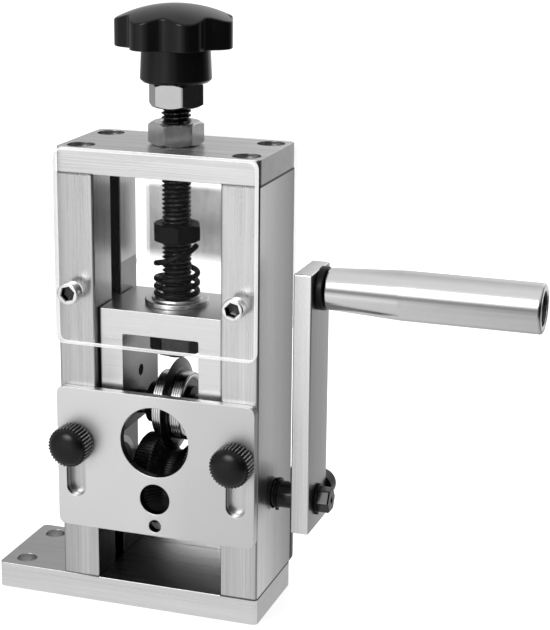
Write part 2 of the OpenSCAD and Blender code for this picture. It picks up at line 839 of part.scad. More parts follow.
module blade_carrier() {
    key_span = carrier_w / 2 + key_reach;
    carrier_h = carrier_top - leg_bottom;
    color([0.76, 0.76, 0.78])
    difference() {
        union() {
            translate([-carrier_w / 2, -carrier_d / 2, leg_bottom]) cube([carrier_w, carrier_d, carrier_h]);
            translate([-key_span, -key_w / 2, leg_bottom]) cube([2 * key_span, key_w, carrier_h]);
        }
        translate([-leg_in_x, -carrier_d / 2 - over, leg_bottom - over])
            cube([2 * leg_in_x, carrier_d + 2 * over, bridge_bottom - leg_bottom + over]);
        translate([0, 0, bridge_bottom - over])
            cylinder(d = rod_d + 4 * run_clear, h = bridge_t + 2 * over);
        translate([-key_span - over, 0, axle_z]) to_x()
            cylinder(d = axle_d + 2 * seat_clear, h = 2 * (key_span + over));
        translate([-key_span - over, 0, axle_z + leg_hole_up]) to_x()
            cylinder(d = leg_hole_d, h = 2 * (key_span + over));
    }
}

module spring_washer() {
    color([0.8, 0.8, 0.8])
    translate([0, 0, carrier_top]) difference() {
        union() {
            cylinder(d = washer_d, h = washer_t - washer_boss_h);
            cylinder(d = washer_boss_d, h = washer_t);
        }
        translate([0, 0, -over]) cylinder(d = rod_d + 4 * run_clear, h = washer_t + 2 * over);
    }
}

module spring() {
    rings = len(spring_path);
    corners = [for (i = [0 : rings - 1]) each wire_ring(i)];
    sides = [for (i = [0 : rings - 2]) for (k = [0 : wire_sides - 1])
        let (n = (k + 1) % wire_sides, a = i * wire_sides, b = a + wire_sides)
        each [[a + k, a + n, b + n], [a + k, b + n, b + k]]];
    first = [for (k = [1 : wire_sides - 2]) [0, k + 1, k]];
    end = (rings - 1) * wire_sides;
    last = [for (k = [1 : wire_sides - 2]) [end, end + k, end + k + 1]];
    color([0.12, 0.12, 0.12])
    polyhedron(points = corners, faces = concat(sides, first, last));
}

// Right half of the blade set as a place: turned along X, from the blade's face outwards
module at_right_feed() { translate([blade_t / 2, 0, axle_z]) to_x() children(); }

module blade_axle() {
    axle_l = carrier_w - 2 * slide_clear;
    color([0.8, 0.8, 0.8])
    difference() {
        translate([-axle_l / 2, 0, axle_z]) to_x() cylinder(d = axle_d, h = axle_l);
        at_right_feed() translate([0, 0, feed_w]) ring(axle_d + over, axle_d - 2 * clip_groove,
            axle_clip_t);
    }
}

module axle_collar() {
    color([0.1, 0.1, 0.1])
    translate([-feed_out_x - collar_w, 0, axle_z]) to_x()
        ring(collar_d, axle_d + 2 * seat_clear, collar_w);
}

module axle_circlip() {
    color([0.1, 0.1, 0.1])
    at_right_feed() translate([0, 0, feed_w + seat_clear])
        circlip(axle_clip_d, axle_d - 2 * clip_groove + 2 * seat_clear, axle_clip_t - 2 * seat_clear);
}

// Ring of the right feed bearing that turns with the blade
module feed_ring() {
    color([0.8, 0.8, 0.8])
    at_right_feed() {
        outer_race(feed_od, feed_ring_t, feed_ball_d, feed_mid_r, feed_w);
    }
}

// Ring and shield of the right feed bearing that stand still on the axle
module feed_inner() {
    shield_d = feed_od - 2 * feed_ring_t - 2 * run_clear;
    color([0.3, 0.3, 0.32])
    at_right_feed() translate([0, 0, slide_clear]) difference() {
        union() {
            cylinder(r = feed_bore_r + feed_ring_t, h = feed_w - slide_clear);
            translate([0, 0, feed_w - slide_clear - feed_shield_t]) cylinder(d = shield_d, h = feed_shield_t);
        }
        translate([0, 0, -over]) cylinder(r = feed_bore_r, h = feed_w + 2 * over);
        translate([0, 0, -slide_clear]) race(feed_mid_r, feed_ball_d, feed_w);
    }
}

module feed_ball_ring() {
    color([0.85, 0.85, 0.85])
    at_right_feed() ball_set(feed_balls, feed_ball_d, feed_mid_r, feed_w);
}

module left_feed_ring() { mirror([1, 0, 0]) feed_ring(); }
module right_feed_ring() { feed_ring(); }
module left_feed_inner() { mirror([1, 0, 0]) feed_inner(); }
module right_feed_inner() { feed_inner(); }
module left_feed_balls() { mirror([1, 0, 0]) feed_ball_ring(); }
module right_feed_balls() { feed_ball_ring(); }

// Disc with a ground edge on both sides
module blade_disc() {
    color([0.25, 0.25, 0.26])
    translate([0, 0, axle_z]) to_x() difference() {
        rotate_extrude() polygon([[0, -blade_t / 2], [blade_d / 2 - blade_bevel, -blade_t / 2],
            [blade_d / 2, -blade_edge_t / 2], [blade_d / 2, blade_edge_t / 2],
            [blade_d / 2 - blade_bevel, blade_t / 2], [0, blade_t / 2]]);
        translate([0, 0, -blade_t]) cylinder(d = axle_d + 2 * run_clear, h = 2 * blade_t);
    }
}

// Places a shape on the shaft's line, turned along X, at the given x
module on_shaft(x) { translate([x, 0, shaft_z]) to_x() children(); }

module drive_shaft() {
    color([0.15, 0.15, 0.15])
    difference() {
        union() {
            on_shaft(shaft_left_x) cylinder(d = shaft_d, h = hex_x - shaft_left_x);
            on_shaft(hex_x) cylinder(d = hex_af / cos(30), h = hex_l, $fn = 6);
        }
        on_shaft(shaft_clip_x) ring(shaft_d + over, shaft_d - 2 * clip_groove, clip_t);
        on_shaft(arm_out_x) ring(shaft_d + over, shaft_d - 2 * clip_groove, clip_t);
    }
}

module drive_roller() {
    w = roller_w / 2;
    color([0.12, 0.12, 0.12])
    on_shaft(0) difference() {
        rotate_extrude() polygon([[0, -w], [roller_r - roller_chamfer, -w], [roller_r, roller_chamfer - w],
            [roller_r, -vee_w / 2], [roller_r - vee_depth, -vee_floor_w / 2],
            [roller_r - vee_depth, vee_floor_w / 2], [roller_r, vee_w / 2],
            [roller_r, w - roller_chamfer], [roller_r - roller_chamfer, w], [0, w]]);
        translate([0, 0, -w - over]) cylinder(d = shaft_d + 2 * seat_clear, h = roller_w + 2 * over);
    }
}

module shaft_circlip() {
    color([0.1, 0.1, 0.1])
    on_shaft(shaft_clip_x + seat_clear)
        circlip(shaft_clip_d, shaft_d - 2 * clip_groove + 2 * seat_clear, clip_t - 2 * seat_clear);
}

module outer_circlip() {
    color([0.1, 0.1, 0.1])
    on_shaft(arm_out_x + seat_clear)
        circlip(outer_clip_d, shaft_d - 2 * clip_groove + 2 * seat_clear, clip_t - 2 * seat_clear);
}

module crank_arm() {
    arm_h = arm_shaft_end + crank_r + arm_handle_end;
    color([0.72, 0.72, 0.74])
    difference() {
        translate([arm_x, -arm_w / 2, shaft_z - arm_shaft_end]) cube([arm_t, arm_w, arm_h]);
        on_shaft(arm_x - over) cylinder(d = shaft_d + 2 * seat_clear, h = arm_t + 2 * over);
        translate([arm_x - over, 0, handle_z]) to_x()
            cylinder(d = handle_screw_d, h = arm_t + 2 * over);
        translate([arm_x + arm_t / 2, 0, shaft_z]) to_rear()
            cylinder(d = clamp_screw_d, h = arm_w / 2 + over);
    }
}

module clamp_screw() {
    shank_l = arm_w / 2 - shaft_d / 2 - slide_clear;
    color([0.2, 0.2, 0.2])
    translate([arm_x + arm_t / 2, arm_w / 2, shaft_z]) to_rear()
        cap_screw(clamp_head_d, clamp_head_h, clamp_screw_d, shank_l);
}

module handle_screw() {
    head_x = grip_x + grip_l - grip_recess_l + turn_clear;
    color([0.15, 0.15, 0.15])
    translate([head_x, 0, handle_z]) to_x()
        cap_screw(handle_head_d, handle_head_h, handle_screw_d, head_x - arm_x);
}

module handle_bush() {
    color([0.1, 0.1, 0.1])
    translate([arm_out_x, 0, handle_z]) to_x() ring(bush_d, handle_screw_d + 2 * seat_clear, bush_w);
}

module handle_grip() {
    r1 = grip_small_d / 2;
    r2 = grip_d / 2;
    color([0.85, 0.85, 0.86])
    translate([grip_x, 0, handle_z]) to_x() difference() {
        rotate_extrude() polygon([[0, 0], [r1 - grip_chamfer, 0], [r1, grip_chamfer], [r2, grip_taper_l],
            [r2, grip_l - grip_chamfer], [r2 - grip_chamfer, grip_l], [0, grip_l]]);
        translate([0, 0, -over]) cylinder(d = handle_screw_d + 2 * run_clear, h = grip_l + 2 * over);
        translate([0, 0, grip_l - grip_recess_l])
            cylinder(d = handle_head_d + 2 * grip_recess_clear, h = grip_recess_l + over);
    }
}

base_plate();
left_column();
right_column();
top_plate();
top_screws();
base_screws();
front_guard();
front_guard_screws();
rear_guard();
rear_guard_screws();
rear_plate();
rear_plate_screws();
jam_nut();
left_bearing_outer();
left_bearing_seals();
left_bearing_balls();
left_bearing_inner();
right_bearing_outer();
right_bearing_seals();
right_bearing_balls();
right_bearing_inner();
guide_plate();
left_thumb_screw();
right_thumb_screw();
pressure_screw();
star_knob();
lock_nut();
spring_stop_nut();
carrier_nut();
blade_carrier();
spring_washer();
spring();
blade_axle();
axle_collar();
axle_circlip();
left_feed_inner();
right_feed_inner();
left_feed_ring();
right_feed_ring();
left_feed_balls();
right_feed_balls();
blade_disc();
drive_shaft();
drive_roller();
shaft_circlip();
outer_circlip();
crank_arm();
clamp_screw();
handle_screw();
handle_bush();
handle_grip();
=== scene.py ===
"""Looks of a bench wire stripper: a crank turns a knurled roller under a sprung disc blade."""
import json
import math

import bmesh
import bpy
from mathutils import Matrix, Vector

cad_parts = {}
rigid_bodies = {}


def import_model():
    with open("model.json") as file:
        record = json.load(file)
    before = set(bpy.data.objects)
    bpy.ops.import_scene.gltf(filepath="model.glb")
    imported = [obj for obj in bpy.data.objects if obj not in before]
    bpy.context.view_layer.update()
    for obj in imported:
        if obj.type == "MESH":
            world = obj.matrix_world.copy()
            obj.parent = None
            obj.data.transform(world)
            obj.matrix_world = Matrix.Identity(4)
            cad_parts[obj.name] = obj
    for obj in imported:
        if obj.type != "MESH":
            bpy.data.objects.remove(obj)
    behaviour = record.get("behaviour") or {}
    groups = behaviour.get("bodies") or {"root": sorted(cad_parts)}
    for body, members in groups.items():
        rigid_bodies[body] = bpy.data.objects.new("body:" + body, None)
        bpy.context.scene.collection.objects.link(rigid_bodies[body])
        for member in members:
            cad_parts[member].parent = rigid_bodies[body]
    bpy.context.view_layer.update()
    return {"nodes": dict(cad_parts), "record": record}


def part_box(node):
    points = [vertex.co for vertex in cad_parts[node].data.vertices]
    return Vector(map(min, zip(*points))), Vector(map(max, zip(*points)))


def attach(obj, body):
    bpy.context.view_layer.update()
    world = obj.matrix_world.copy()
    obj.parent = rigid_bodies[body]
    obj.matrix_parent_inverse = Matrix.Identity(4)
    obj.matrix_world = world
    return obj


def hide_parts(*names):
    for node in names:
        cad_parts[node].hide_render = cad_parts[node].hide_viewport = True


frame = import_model()

bl_info = {
    "name": "Bench wire stripper",
    "version": (1, 0, 0),
    "blender": (4, 5, 0),
    "location": "3D View > Sidebar > Stripper",
    "description": "Dresses the packed frame of a bench wire stripper",
    "category": "Object",
}

MM = 0.001
TURN = 2 * math.pi
X, Y, Z = range(3)

# Radius of the drive shaft and the blade axle, and of the bores round them
ROD_R = 4.5 * MM
ROD_BORE = 4.52 * MM
# Socket heads of the frame's, the guards' and the crank's screws
FRAME_HEAD = 8.5 * MM
FRAME_HEAD_H = 4.5 * MM
GUARD_HEAD = 7.3 * MM
GUARD_HEAD_H = 4 * MM
CRANK_HEAD = 10 * MM
# Share of a head's diameter within which its socket lies
SOCKET_REACH = 0.34


# Sizes that a user may change

class StripperSizes(bpy.types.PropertyGroup):
    """Small forms of the metal parts."""

    edge: bpy.props.FloatProperty(
        name="Edge rounding", description="Rounding of the machined edges", default=0.2 * MM, unit="LENGTH")
    thread_pitch: bpy.props.FloatProperty(
        name="Thread pitch", description="Pitch of the pressure screw", default=1.5 * MM, unit="LENGTH")
    thread_depth: bpy.props.FloatProperty(
        name="Thread depth", description="Depth of the pressure screw's thread",
        default=0.92 * MM, unit="LENGTH")
    roller_ribs: bpy.props.IntProperty(
        name="Roller ribs", description="Ribs round the drive roller", default=72)
    roller_knurl: bpy.props.FloatProperty(
        name="Roller knurl", description="Depth of the roller's knurl", default=0.55 * MM, unit="LENGTH")
    thumb_ribs: bpy.props.IntProperty(
        name="Thumb screw ribs", description="Ribs round a thumb screw's head", default=36)
    thumb_knurl: bpy.props.FloatProperty(
        name="Thumb screw knurl", description="Depth of the thumb screws' knurl",
        default=0.6 * MM, unit="LENGTH")
    knob_lobes: bpy.props.IntProperty(
        name="Knob lobes", description="Lobes of the star knob", default=7)
    seed: bpy.props.IntProperty(
        name="Seed", description="Sets how the screws' sockets are turned", default=4)


class StripperFinish(bpy.types.PropertyGroup):
    """Colours of the finishes."""

    aluminium: bpy.props.FloatProperty(
        name="Aluminium", description="Brightness of the bare aluminium", default=0.72)
    steel: bpy.props.FloatProperty(
        name="Bright steel", description="Brightness of the bright steel", default=0.8)
    oxide: bpy.props.FloatProperty(
        name="Black oxide", description="Brightness of the blackened steel", default=0.005)
    knob: bpy.props.FloatVectorProperty(
        name="Knob", description="Colour of the knob", subtype="COLOR", size=4,
        default=(0.004, 0.004, 0.0045, 1))


class StripperStage(bpy.types.PropertyGroup):
    """Light and floor."""

    key: bpy.props.FloatProperty(
        name="Key light", description="Power of the large lamp at the front left", default=9.0, unit="POWER")
    fill: bpy.props.FloatProperty(
        name="Fill light", description="Power of the lamp at the right", default=2.5, unit="POWER")
    top: bpy.props.FloatProperty(
        name="Top light", description="Power of the lamp above", default=5.0, unit="POWER")


def settings():
    return bpy.context.scene.stripper_sizes


def finishes():
    return bpy.context.scene.stripper_finish


# Nodes

class Value:
    """What a node puts out; the usual operators add Math nodes to it."""

    def __init__(self, owner, socket):
        self.owner = owner
        self.socket = socket

    def math(self, operation, *terms):
        return self.owner.node("ShaderNodeMath", {"operation": operation}, dict(enumerate(terms)))

    def __add__(self, other):
        return self.math("ADD", self, other)

    def __radd__(self, other):
        return self.math("ADD", other, self)

    def __sub__(self, other):
        return self.math("SUBTRACT", self, other)

    def __rsub__(self, other):
        return self.math("SUBTRACT", other, self)

    def __mul__(self, other):
        return self.math("MULTIPLY", self, other)

    def __rmul__(self, other):
        return self.math("MULTIPLY", other, self)

    def __truediv__(self, other):
        return self.math("DIVIDE", self, other)

    def __abs__(self):
        return self.math("ABSOLUTE", self)

    def share(self):
        return self.math("FRACT", self)

    def least(self, other):
        return self.math("MINIMUM", self, other)

    def most(self, other):
        return self.math("MAXIMUM", self, other)

    def sine(self):
        return self.math("SINE", self)

    def cosine(self):
        return self.math("COSINE", self)

    def angle(self, across):
        return self.math("ARCTAN2", self, across)

    def root(self):
        return self.math("SQRT", self)

    def table(self, stops):
        """Grey level by value, eased between (place, level) stops that lie in order from 0 to 1."""
        shade = self.owner.node("ShaderNodeValToRGB", inputs={0: self})
        ramp = shade.socket.node.color_ramp
        ramp.interpolation = "EASE"
        while len(ramp.elements) < len(stops):
            ramp.elements.new(1.0)
        for element, (place, level) in zip(ramp.elements, stops):
            element.position = place
            element.color = (level, level, level, 1)
        return shade

    def ramp(self, low, high):
        """0 below low, 1 above high, straight between."""
        return self.owner.node("ShaderNodeMapRange", {"clamp": True}, {
            0: self, 1: low, 2: high, 3: 0.0, 4: 1.0})


class Nodes:
    """A node tree that is built one node at a time."""

    def __init__(self, tree):
        self.tree = tree
        tree.nodes.clear()

    def node(self, kind, setup=None, inputs=None, output=0):
        made = self.tree.nodes.new(kind)
        for key, value in (setup or {}).items():
            setattr(made, key, value)
        for key, value in (inputs or {}).items():
            for part in value if isinstance(value, list) else [value]:
                if isinstance(part, Value):
                    self.tree.links.new(part.socket, made.inputs[key])
                else:
                    made.inputs[key].default_value = part
        return Value(self, made.outputs[output]) if len(made.outputs) else None

    def parts(self, vector):
        return [self.node("ShaderNodeSeparateXYZ", inputs={0: vector}, output=i) for i in range(3)]


class Finish(Nodes):
    """One material round one Principled shader."""

    def __init__(self, name):
        self.material = bpy.data.materials.new(name)
        self.material.use_nodes = True
        super().__init__(self.material.node_tree)

    def spot(self, scale, origin=(0, 0, 0)):
        """Object coordinates, moved and stretched; the scale is one for all axes or one for each."""
        scale = scale if isinstance(scale, tuple) else (scale,) * 3
        place = self.node("ShaderNodeTexCoord", output="Object")
        shift = tuple(-o * s for o, s in zip(origin, scale))
        return self.node("ShaderNodeMapping", inputs={"Vector": place, "Location": shift, "Scale": scale})

    def noise(self, scale, detail=2.0):
        """Noise from 0 to 1 at so many waves per metre, along all axes or along each."""
        return self.node("ShaderNodeTexNoise", {"noise_dimensions": "3D"}, {
            "Vector": self.spot(scale), "Scale": 1.0, "Detail": detail})

    def grey(self, value):
        return self.node("ShaderNodeCombineColor", {"mode": "RGB"}, {0: value, 1: value, 2: value})

    def mix(self, factor, first, second):
        return self.node("ShaderNodeMix", {"data_type": "RGBA"}, {0: factor, 6: first, 7: second}, output=2)

    def relief(self, height, depth, strength=1.0):
        return self.node("ShaderNodeBump", inputs={
            "Height": height, "Distance": depth, "Strength": strength})

    def shade(self, **sockets):
        names = {key.replace("_", " "): value for key, value in sockets.items()}
        surface = self.node("ShaderNodeBsdfPrincipled", inputs=names)
        self.node("ShaderNodeOutputMaterial", inputs={"Surface": surface})
        return self.material


class Recipe(Nodes):
    """A Geometry Nodes tree with named sizes, whose result becomes a plain mesh."""

    KINDS = {float: "NodeSocketFloat", int: "NodeSocketInt", bpy.types.Object: "NodeSocketObject"}

    def __init__(self, name, **sizes):
        super().__init__(bpy.data.node_groups.new(name, "GeometryNodeTree"))
        self.ids = {}
        self.add("Geometry", "INPUT", "NodeSocketGeometry")
        self.add("Geometry", "OUTPUT", "NodeSocketGeometry")
        for label, kind in sizes.items():
            self.ids[label] = self.add(label.replace("_", " "), "INPUT", self.KINDS[kind]).identifier
        self.ids["Finish"] = self.add("Finish", "INPUT", "NodeSocketMaterial").identifier
        self.entry = self.tree.nodes.new("NodeGroupInput")

    def add(self, label, way, kind):
        return self.tree.interface.new_socket(label, in_out=way, socket_type=kind)

    def size(self, label):
        return Value(self, self.entry.outputs[label])

    def close(self, geometry):
        whole = self.node("GeometryNodeRealizeInstances", inputs={0: geometry})
        dressed = self.node("GeometryNodeSetMaterial", inputs={
            "Geometry": whole, "Material": self.size("Finish")})
        self.node("NodeGroupOutput", inputs={0: dressed})

    def make(self, finish, base=None, **sizes):
        """The plain mesh that the tree makes of a base mesh at these sizes."""
        holder = bpy.data.objects.new("holder", base or bpy.data.meshes.new("holder"))
        bpy.context.scene.collection.objects.link(holder)
        modifier = holder.modifiers.new("recipe", "NODES")
        modifier.node_group = self.tree
        modifier[self.ids["Finish"]] = finish
        for label, value in sizes.items():
            modifier[self.ids[label]] = value
        mesh = plain_mesh(holder)
        bpy.data.objects.remove(holder)
        return mesh


def plain_mesh(obj):
    graph = bpy.context.evaluated_depsgraph_get()
    graph.update()
    return bpy.data.meshes.new_from_object(obj.evaluated_get(graph))


# Outlines

def rounded(points, radius, steps=3, closed=True):
    """Outline whose corners are rounded; radius is one value or one for each point."""
    count = len(points)
    radii = radius if isinstance(radius, (list, tuple)) else [radius] * count
    out = []
    for i, point in enumerate(points):
        here = Vector(point)
        ends = not closed and i in (0, count - 1)
        if ends or radii[i] <= 0:
            out.append(here)
            continue
        to_last = Vector(points[i - 1]) - here
        to_next = Vector(points[(i + 1) % count]) - here
        half = to_last.angle(to_next) / 2
        reach = min(radii[i] / math.tan(half), 0.48 * to_last.length, 0.48 * to_next.length)
        first = here + to_last.normalized() * reach
        last = here + to_next.normalized() * reach
        for k in range(steps + 1):
            s = k / steps
            out.append(first * (1 - s) ** 2 + here * 2 * s * (1 - s) + last * s ** 2)
    return out


def rectangle(width, height, centre=(0, 0)):
    x, y = centre
    return [(x - width / 2, y - height / 2), (x + width / 2, y - height / 2),
            (x + width / 2, y + height / 2), (x - width / 2, y + height / 2)]


def circle(radius, centre=(0, 0), count=96):
    x, y = centre
    angles = [TURN * i / count for i in range(count)]
    return [(x + radius * math.cos(a), y + radius * math.sin(a)) for a in angles]


def slot_outline(width, lower, upper, x, count=32):
    """Upright slot with round ends, from the lower to the upper centre."""
    angles = [math.pi * i / count for i in range(count + 1)]
    end = [(width / 2 * math.cos(a), width / 2 * math.sin(a)) for a in angles]
    return [(x + u, upper + v) for u, v in end] + [(x - u, lower - v) for u, v in end]


def inset(loop, distance):
    """Loop moved inwards; a loop that runs clockwise grows."""
    if not distance:
        return [Vector(p) for p in loop]
    out = []
    for i, point in enumerate(loop):
        here = Vector(point)
        before = (here - Vector(loop[i - 1])).normalized()
        after = (Vector(loop[(i + 1) % len(loop)]) - here).normalized()
        left = Vector((-before.y - after.y, before.x + after.x))
        left.normalize()
        cosine = max(0.4, left.dot(Vector((-after.y, after.x))))
        out.append(here + left * (distance / cosine))
    return out


def hexagon(flats, turn=0.0, soft=0.0):
    """Radius of a hexagon by angle, its first corner at the turn; soft rounds the corners."""
    def radius(angle):
        within = (angle - turn + math.pi / 6) % (math.pi / 3) - math.pi / 6
        edge = flats / 2 / math.cos(math.pi / 6 - abs(within))
        return min(edge, flats / 2 / math.cos(math.pi / 6) - soft)
    return radius


# Solids

def circle_ring(mesh, radius, height, count):
    """A ring of points, or the one point on the axis."""
    if not callable(radius) and radius < 1e-7:
        return [mesh.verts.new((0, 0, height))]
    ring = []
    for i in range(count):
        angle = TURN * i / count
        reach = radius(angle) if callable(radius) else radius
        rise = height(angle) if callable(height) else height
        ring.append(mesh.verts.new((reach * math.cos(angle), reach * math.sin(angle), rise)))
    return ring


def bridge(mesh, first, second, index=0):
    """Faces between two rings, either of which may be one point."""
    count = max(len(first), len(second))
    for i in range(count):
        j = (i + 1) % count
        corners = [first[i % len(first)], first[j % len(first)],
                   second[j % len(second)], second[i % len(second)]]
        unique = list(dict.fromkeys(corners))
        if len(unique) > 2:
            mesh.faces.new(unique).material_index = index


def turned(profile, count=96, closed=False):
    """Shell turned round Z from (radius, height) points, either of which may be a function of the angle."""
    mesh = bmesh.new()
    rings = [circle_ring(mesh, radius, height, count) for radius, height in profile]
    following = rings[1:] + rings[:1] if closed else rings[1:]
    for first, second in zip(rings, following):
        bridge(mesh, first, second)
    return mesh


def slab(outline, holes, thickness, edge, steps=3, stepped=(), hole_index=1):
    """Flat piece with soft edges. Holes are loops; stepped ones are (loop, [(height, growth), ...]).

    Its faces take the first material, its outer wall the second, and the walls of stepped holes the third.
    The hole index says which of them the walls of plain holes take."""
    mesh = bmesh.new()
    angles = [math.pi / 2 * k / steps for k in range(steps + 1)]
    quarter = [(edge * (1 - math.sin(a)), edge * (1 - math.cos(a))) for a in angles]
    wall = quarter + [(inwards, thickness - height) for inwards, height in reversed(quarter)]
    rims = []
    walls = [(list(outline), wall, 1)]
    walls += [(list(reversed(hole)), wall, hole_index) for hole in holes]
    walls += [(list(reversed(hole)), [(growth, height) for height, growth in steps_of], 2)
              for hole, steps_of in stepped]
    for loop, heights, index in walls:
        rings = []
        for distance, height in heights:
            rings.append([mesh.verts.new((p.x, p.y, height)) for p in inset(loop, distance)])
        for first, second in zip(rings, rings[1:]):
            bridge(mesh, first, second, index)
        rims.append((rings[0], rings[-1]))
    for side in (0, 1):
        edges = []
        for rim in rims:
            ring = rim[side]
            for i, vert in enumerate(ring):
                pair = (vert, ring[(i + 1) % len(ring)])
                edges.append(mesh.edges.get(pair) or mesh.edges.new(pair))
        filled = bmesh.ops.triangle_fill(mesh, use_beauty=True, edges=edges)
        for face in filled["geom"]:
            if isinstance(face, bmesh.types.BMFace):
                face.material_index = 0
    return mesh


def plug(outline, wall):
    """Closed solid of one outline, moved inwards by so much at each (distance, height)."""
    mesh = bmesh.new()
    rings = []
    for distance, height in wall:
        rings.append([mesh.verts.new((p.x, p.y, height)) for p in inset(outline, distance)])
    for first, second in zip(rings, rings[1:]):
        bridge(mesh, first, second)
    mesh.faces.new(rings[0])
    mesh.faces.new(rings[-1])
    return mesh


def moved(mesh, matrix):
    bmesh.ops.transform(mesh, matrix=matrix, verts=mesh.verts)
    return mesh


# Frames: where a shape's own Z points

def upwards(x=0.0, y=0.0, z=0.0):
    return Matrix.Translation((x, y, z))


def turned_to(columns, x, y, z):
    """Frame whose own axes point along these columns."""
    return Matrix.Translation((x, y, z)) @ Matrix(columns).transposed().to_4x4()


def to_front(x=0.0, y=0.0, z=0.0):
    return turned_to(((1, 0, 0), (0, 0, 1), (0, -1, 0)), x, y, z)


def to_rear(x=0.0, y=0.0, z=0.0):
    return turned_to(((-1, 0, 0), (0, 0, 1), (0, 1, 0)), x, y, z)


def to_right(x=0.0, y=0.0, z=0.0):
    return turned_to(((0, 1, 0), (0, 0, 1), (1, 0, 0)), x, y, z)


def to_left(x=0.0, y=0.0, z=0.0):
    return turned_to(((0, -1, 0), (0, 0, 1), (-1, 0, 0)), x, y, z)


# Where the CAD nodes lie

def low(node):
    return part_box(node)[0]


def high(node):
    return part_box(node)[1]


def size(node):
    return high(node) - low(node)


def middle(node, axis):
    """Middle of a node's box along one axis."""
    return (low(node)[axis] + high(node)[axis]) / 2


# Pieces

def tidy(mesh):
    """Merges doubles and turns the faces outwards."""
    bmesh.ops.remove_doubles(mesh, verts=mesh.verts, dist=1e-7)
    bmesh.ops.dissolve_degenerate(mesh, dist=1e-8, edges=mesh.edges)
    bmesh.ops.recalc_face_normals(mesh, faces=mesh.faces)


def solid_object(name, mesh, materials, place=None):
    """Object of a build mesh, which is used up."""
    if place is not None:
        moved(mesh, place)
    tidy(mesh)
    data = bpy.data.meshes.new(name)
    mesh.to_mesh(data)
    mesh.free()
    for material in materials:
        data.materials.append(material)
    obj = bpy.data.objects.new(name, data)
    bpy.context.scene.collection.objects.link(obj)
    return obj


def cut(obj, cutters):
    """Takes other solids out of an object's mesh."""
    for cutter in cutters:
        tool = solid_object("cutter", cutter, [])
        modifier = obj.modifiers.new("cut", "BOOLEAN")
        modifier.operation = "DIFFERENCE"
        modifier.solver = "EXACT"
        modifier.object = tool
        data = plain_mesh(obj)
        obj.modifiers.remove(modifier)
        obj.data = data
        bpy.data.objects.remove(tool)


def smooth(obj, sharp=38.0):
    """Smooth faces that keep flat sides flat."""
    obj.data.shade_smooth()
    obj.data.set_sharp_from_angle(angle=math.radians(sharp))
    modifier = obj.modifiers.new("normals", "WEIGHTED_NORMAL")
    modifier.keep_sharp = True
    data = plain_mesh(obj)
    obj.modifiers.remove(modifier)
    obj.data = data


def piece(name, mesh, materials, slot, nodes, place=None, cutters=(), sharp=38.0):
    """A finished piece that stands for CAD nodes and rides on their body."""
    if isinstance(mesh, bpy.types.Mesh):
        build = bmesh.new()
        build.from_mesh(mesh)
        mesh = build
    obj = solid_object(name, mesh, materials, place)
    cut(obj, cutters)
    smooth(obj, sharp)
    body = next(b for b, members in frame["record"]["behaviour"]["bodies"].items() if nodes[0] in members)
    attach(obj, body)
    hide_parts(*nodes)


def dress(node, material):
    """Gives a CAD node its finish."""
    for slot in frame["nodes"][node].material_slots:
        slot.material = material


# Finishes

def aluminium(name, along, level=1.0, gloss=0.34, streaks=0.09, shading=None):
    """Drawn or brushed aluminium with its lines along one axis.

    Shading paints light and shade on it by place: a function of x, y and z in millimetres."""
    finish = Finish(name)
    fine = finish.noise(tuple(26.0 if axis == along else 2600.0 for axis in (X, Y, Z)), detail=3.0)
    broad = finish.noise(tuple(5.0 if axis == along else 190.0 for axis in (X, Y, Z)))
    cloud = finish.noise(70.0, detail=3.0)
    tone = finishes().aluminium * level
    if shading:
        tone = tone * shading(*finish.parts(finish.spot(1 / MM)))
    lines = fine - 0.5
    bands = broad - 0.5
    base = tone * (1 + streaks * (2.2 * lines + 1.8 * bands) + 0.04 * (cloud - 0.5))
    return finish.shade(
        Base_Color=finish.grey(base.least(0.95)), Metallic=1.0,
        Roughness=gloss + 0.22 * lines + 0.1 * bands,
        Normal=finish.relief(fine, 0.004 * MM, 0.5))


def satin_aluminium(name):
    """Fine bead-blasted aluminium plate."""
    finish = Finish(name)
    grain = finish.noise(5200.0, detail=2.0)
    cloud = finish.noise(60.0, detail=3.0)
    x, y, z = finish.parts(finish.spot(1 / MM))
    # Painted shade: the plate grows darker towards the right.
    across = 1.12 - 0.14 * x.ramp(-5, 12)
    base = finishes().aluminium * across * (1.0 + 0.05 * (grain - 0.5) + 0.06 * (cloud - 0.5))
    return finish.shade(
        Base_Color=finish.grey(base), Metallic=1.0,
        Roughness=0.42 + 0.12 * (grain - 0.5) + 0.06 * (cloud - 0.5),
        Normal=finish.relief(grain, 0.004 * MM, 0.6))


def bright_metal(name, level=1.0, gloss=0.2, mottle=0.05):
    """Zinc-plated or bright steel, with painted shade where the points of a piece are marked as hollow."""
    finish = Finish(name)
    hollow = finish.node("ShaderNodeAttribute", {"attribute_name": "hollow"}, output="Fac")
    cloud = finish.noise(420.0, detail=4.0)
    speck = finish.noise(3600.0, detail=2.0)
    base = finishes().steel * level * (1.0 + mottle * (cloud - 0.5) * 2) * (1 - 0.93 * hollow)
    return finish.shade(
        Base_Color=finish.grey(base.least(0.95)), Metallic=1.0,
        Roughness=gloss + 0.14 * (cloud - 0.5) + 0.05 * (speck - 0.5),
        Normal=finish.relief(speck, 0.003 * MM, 0.5))


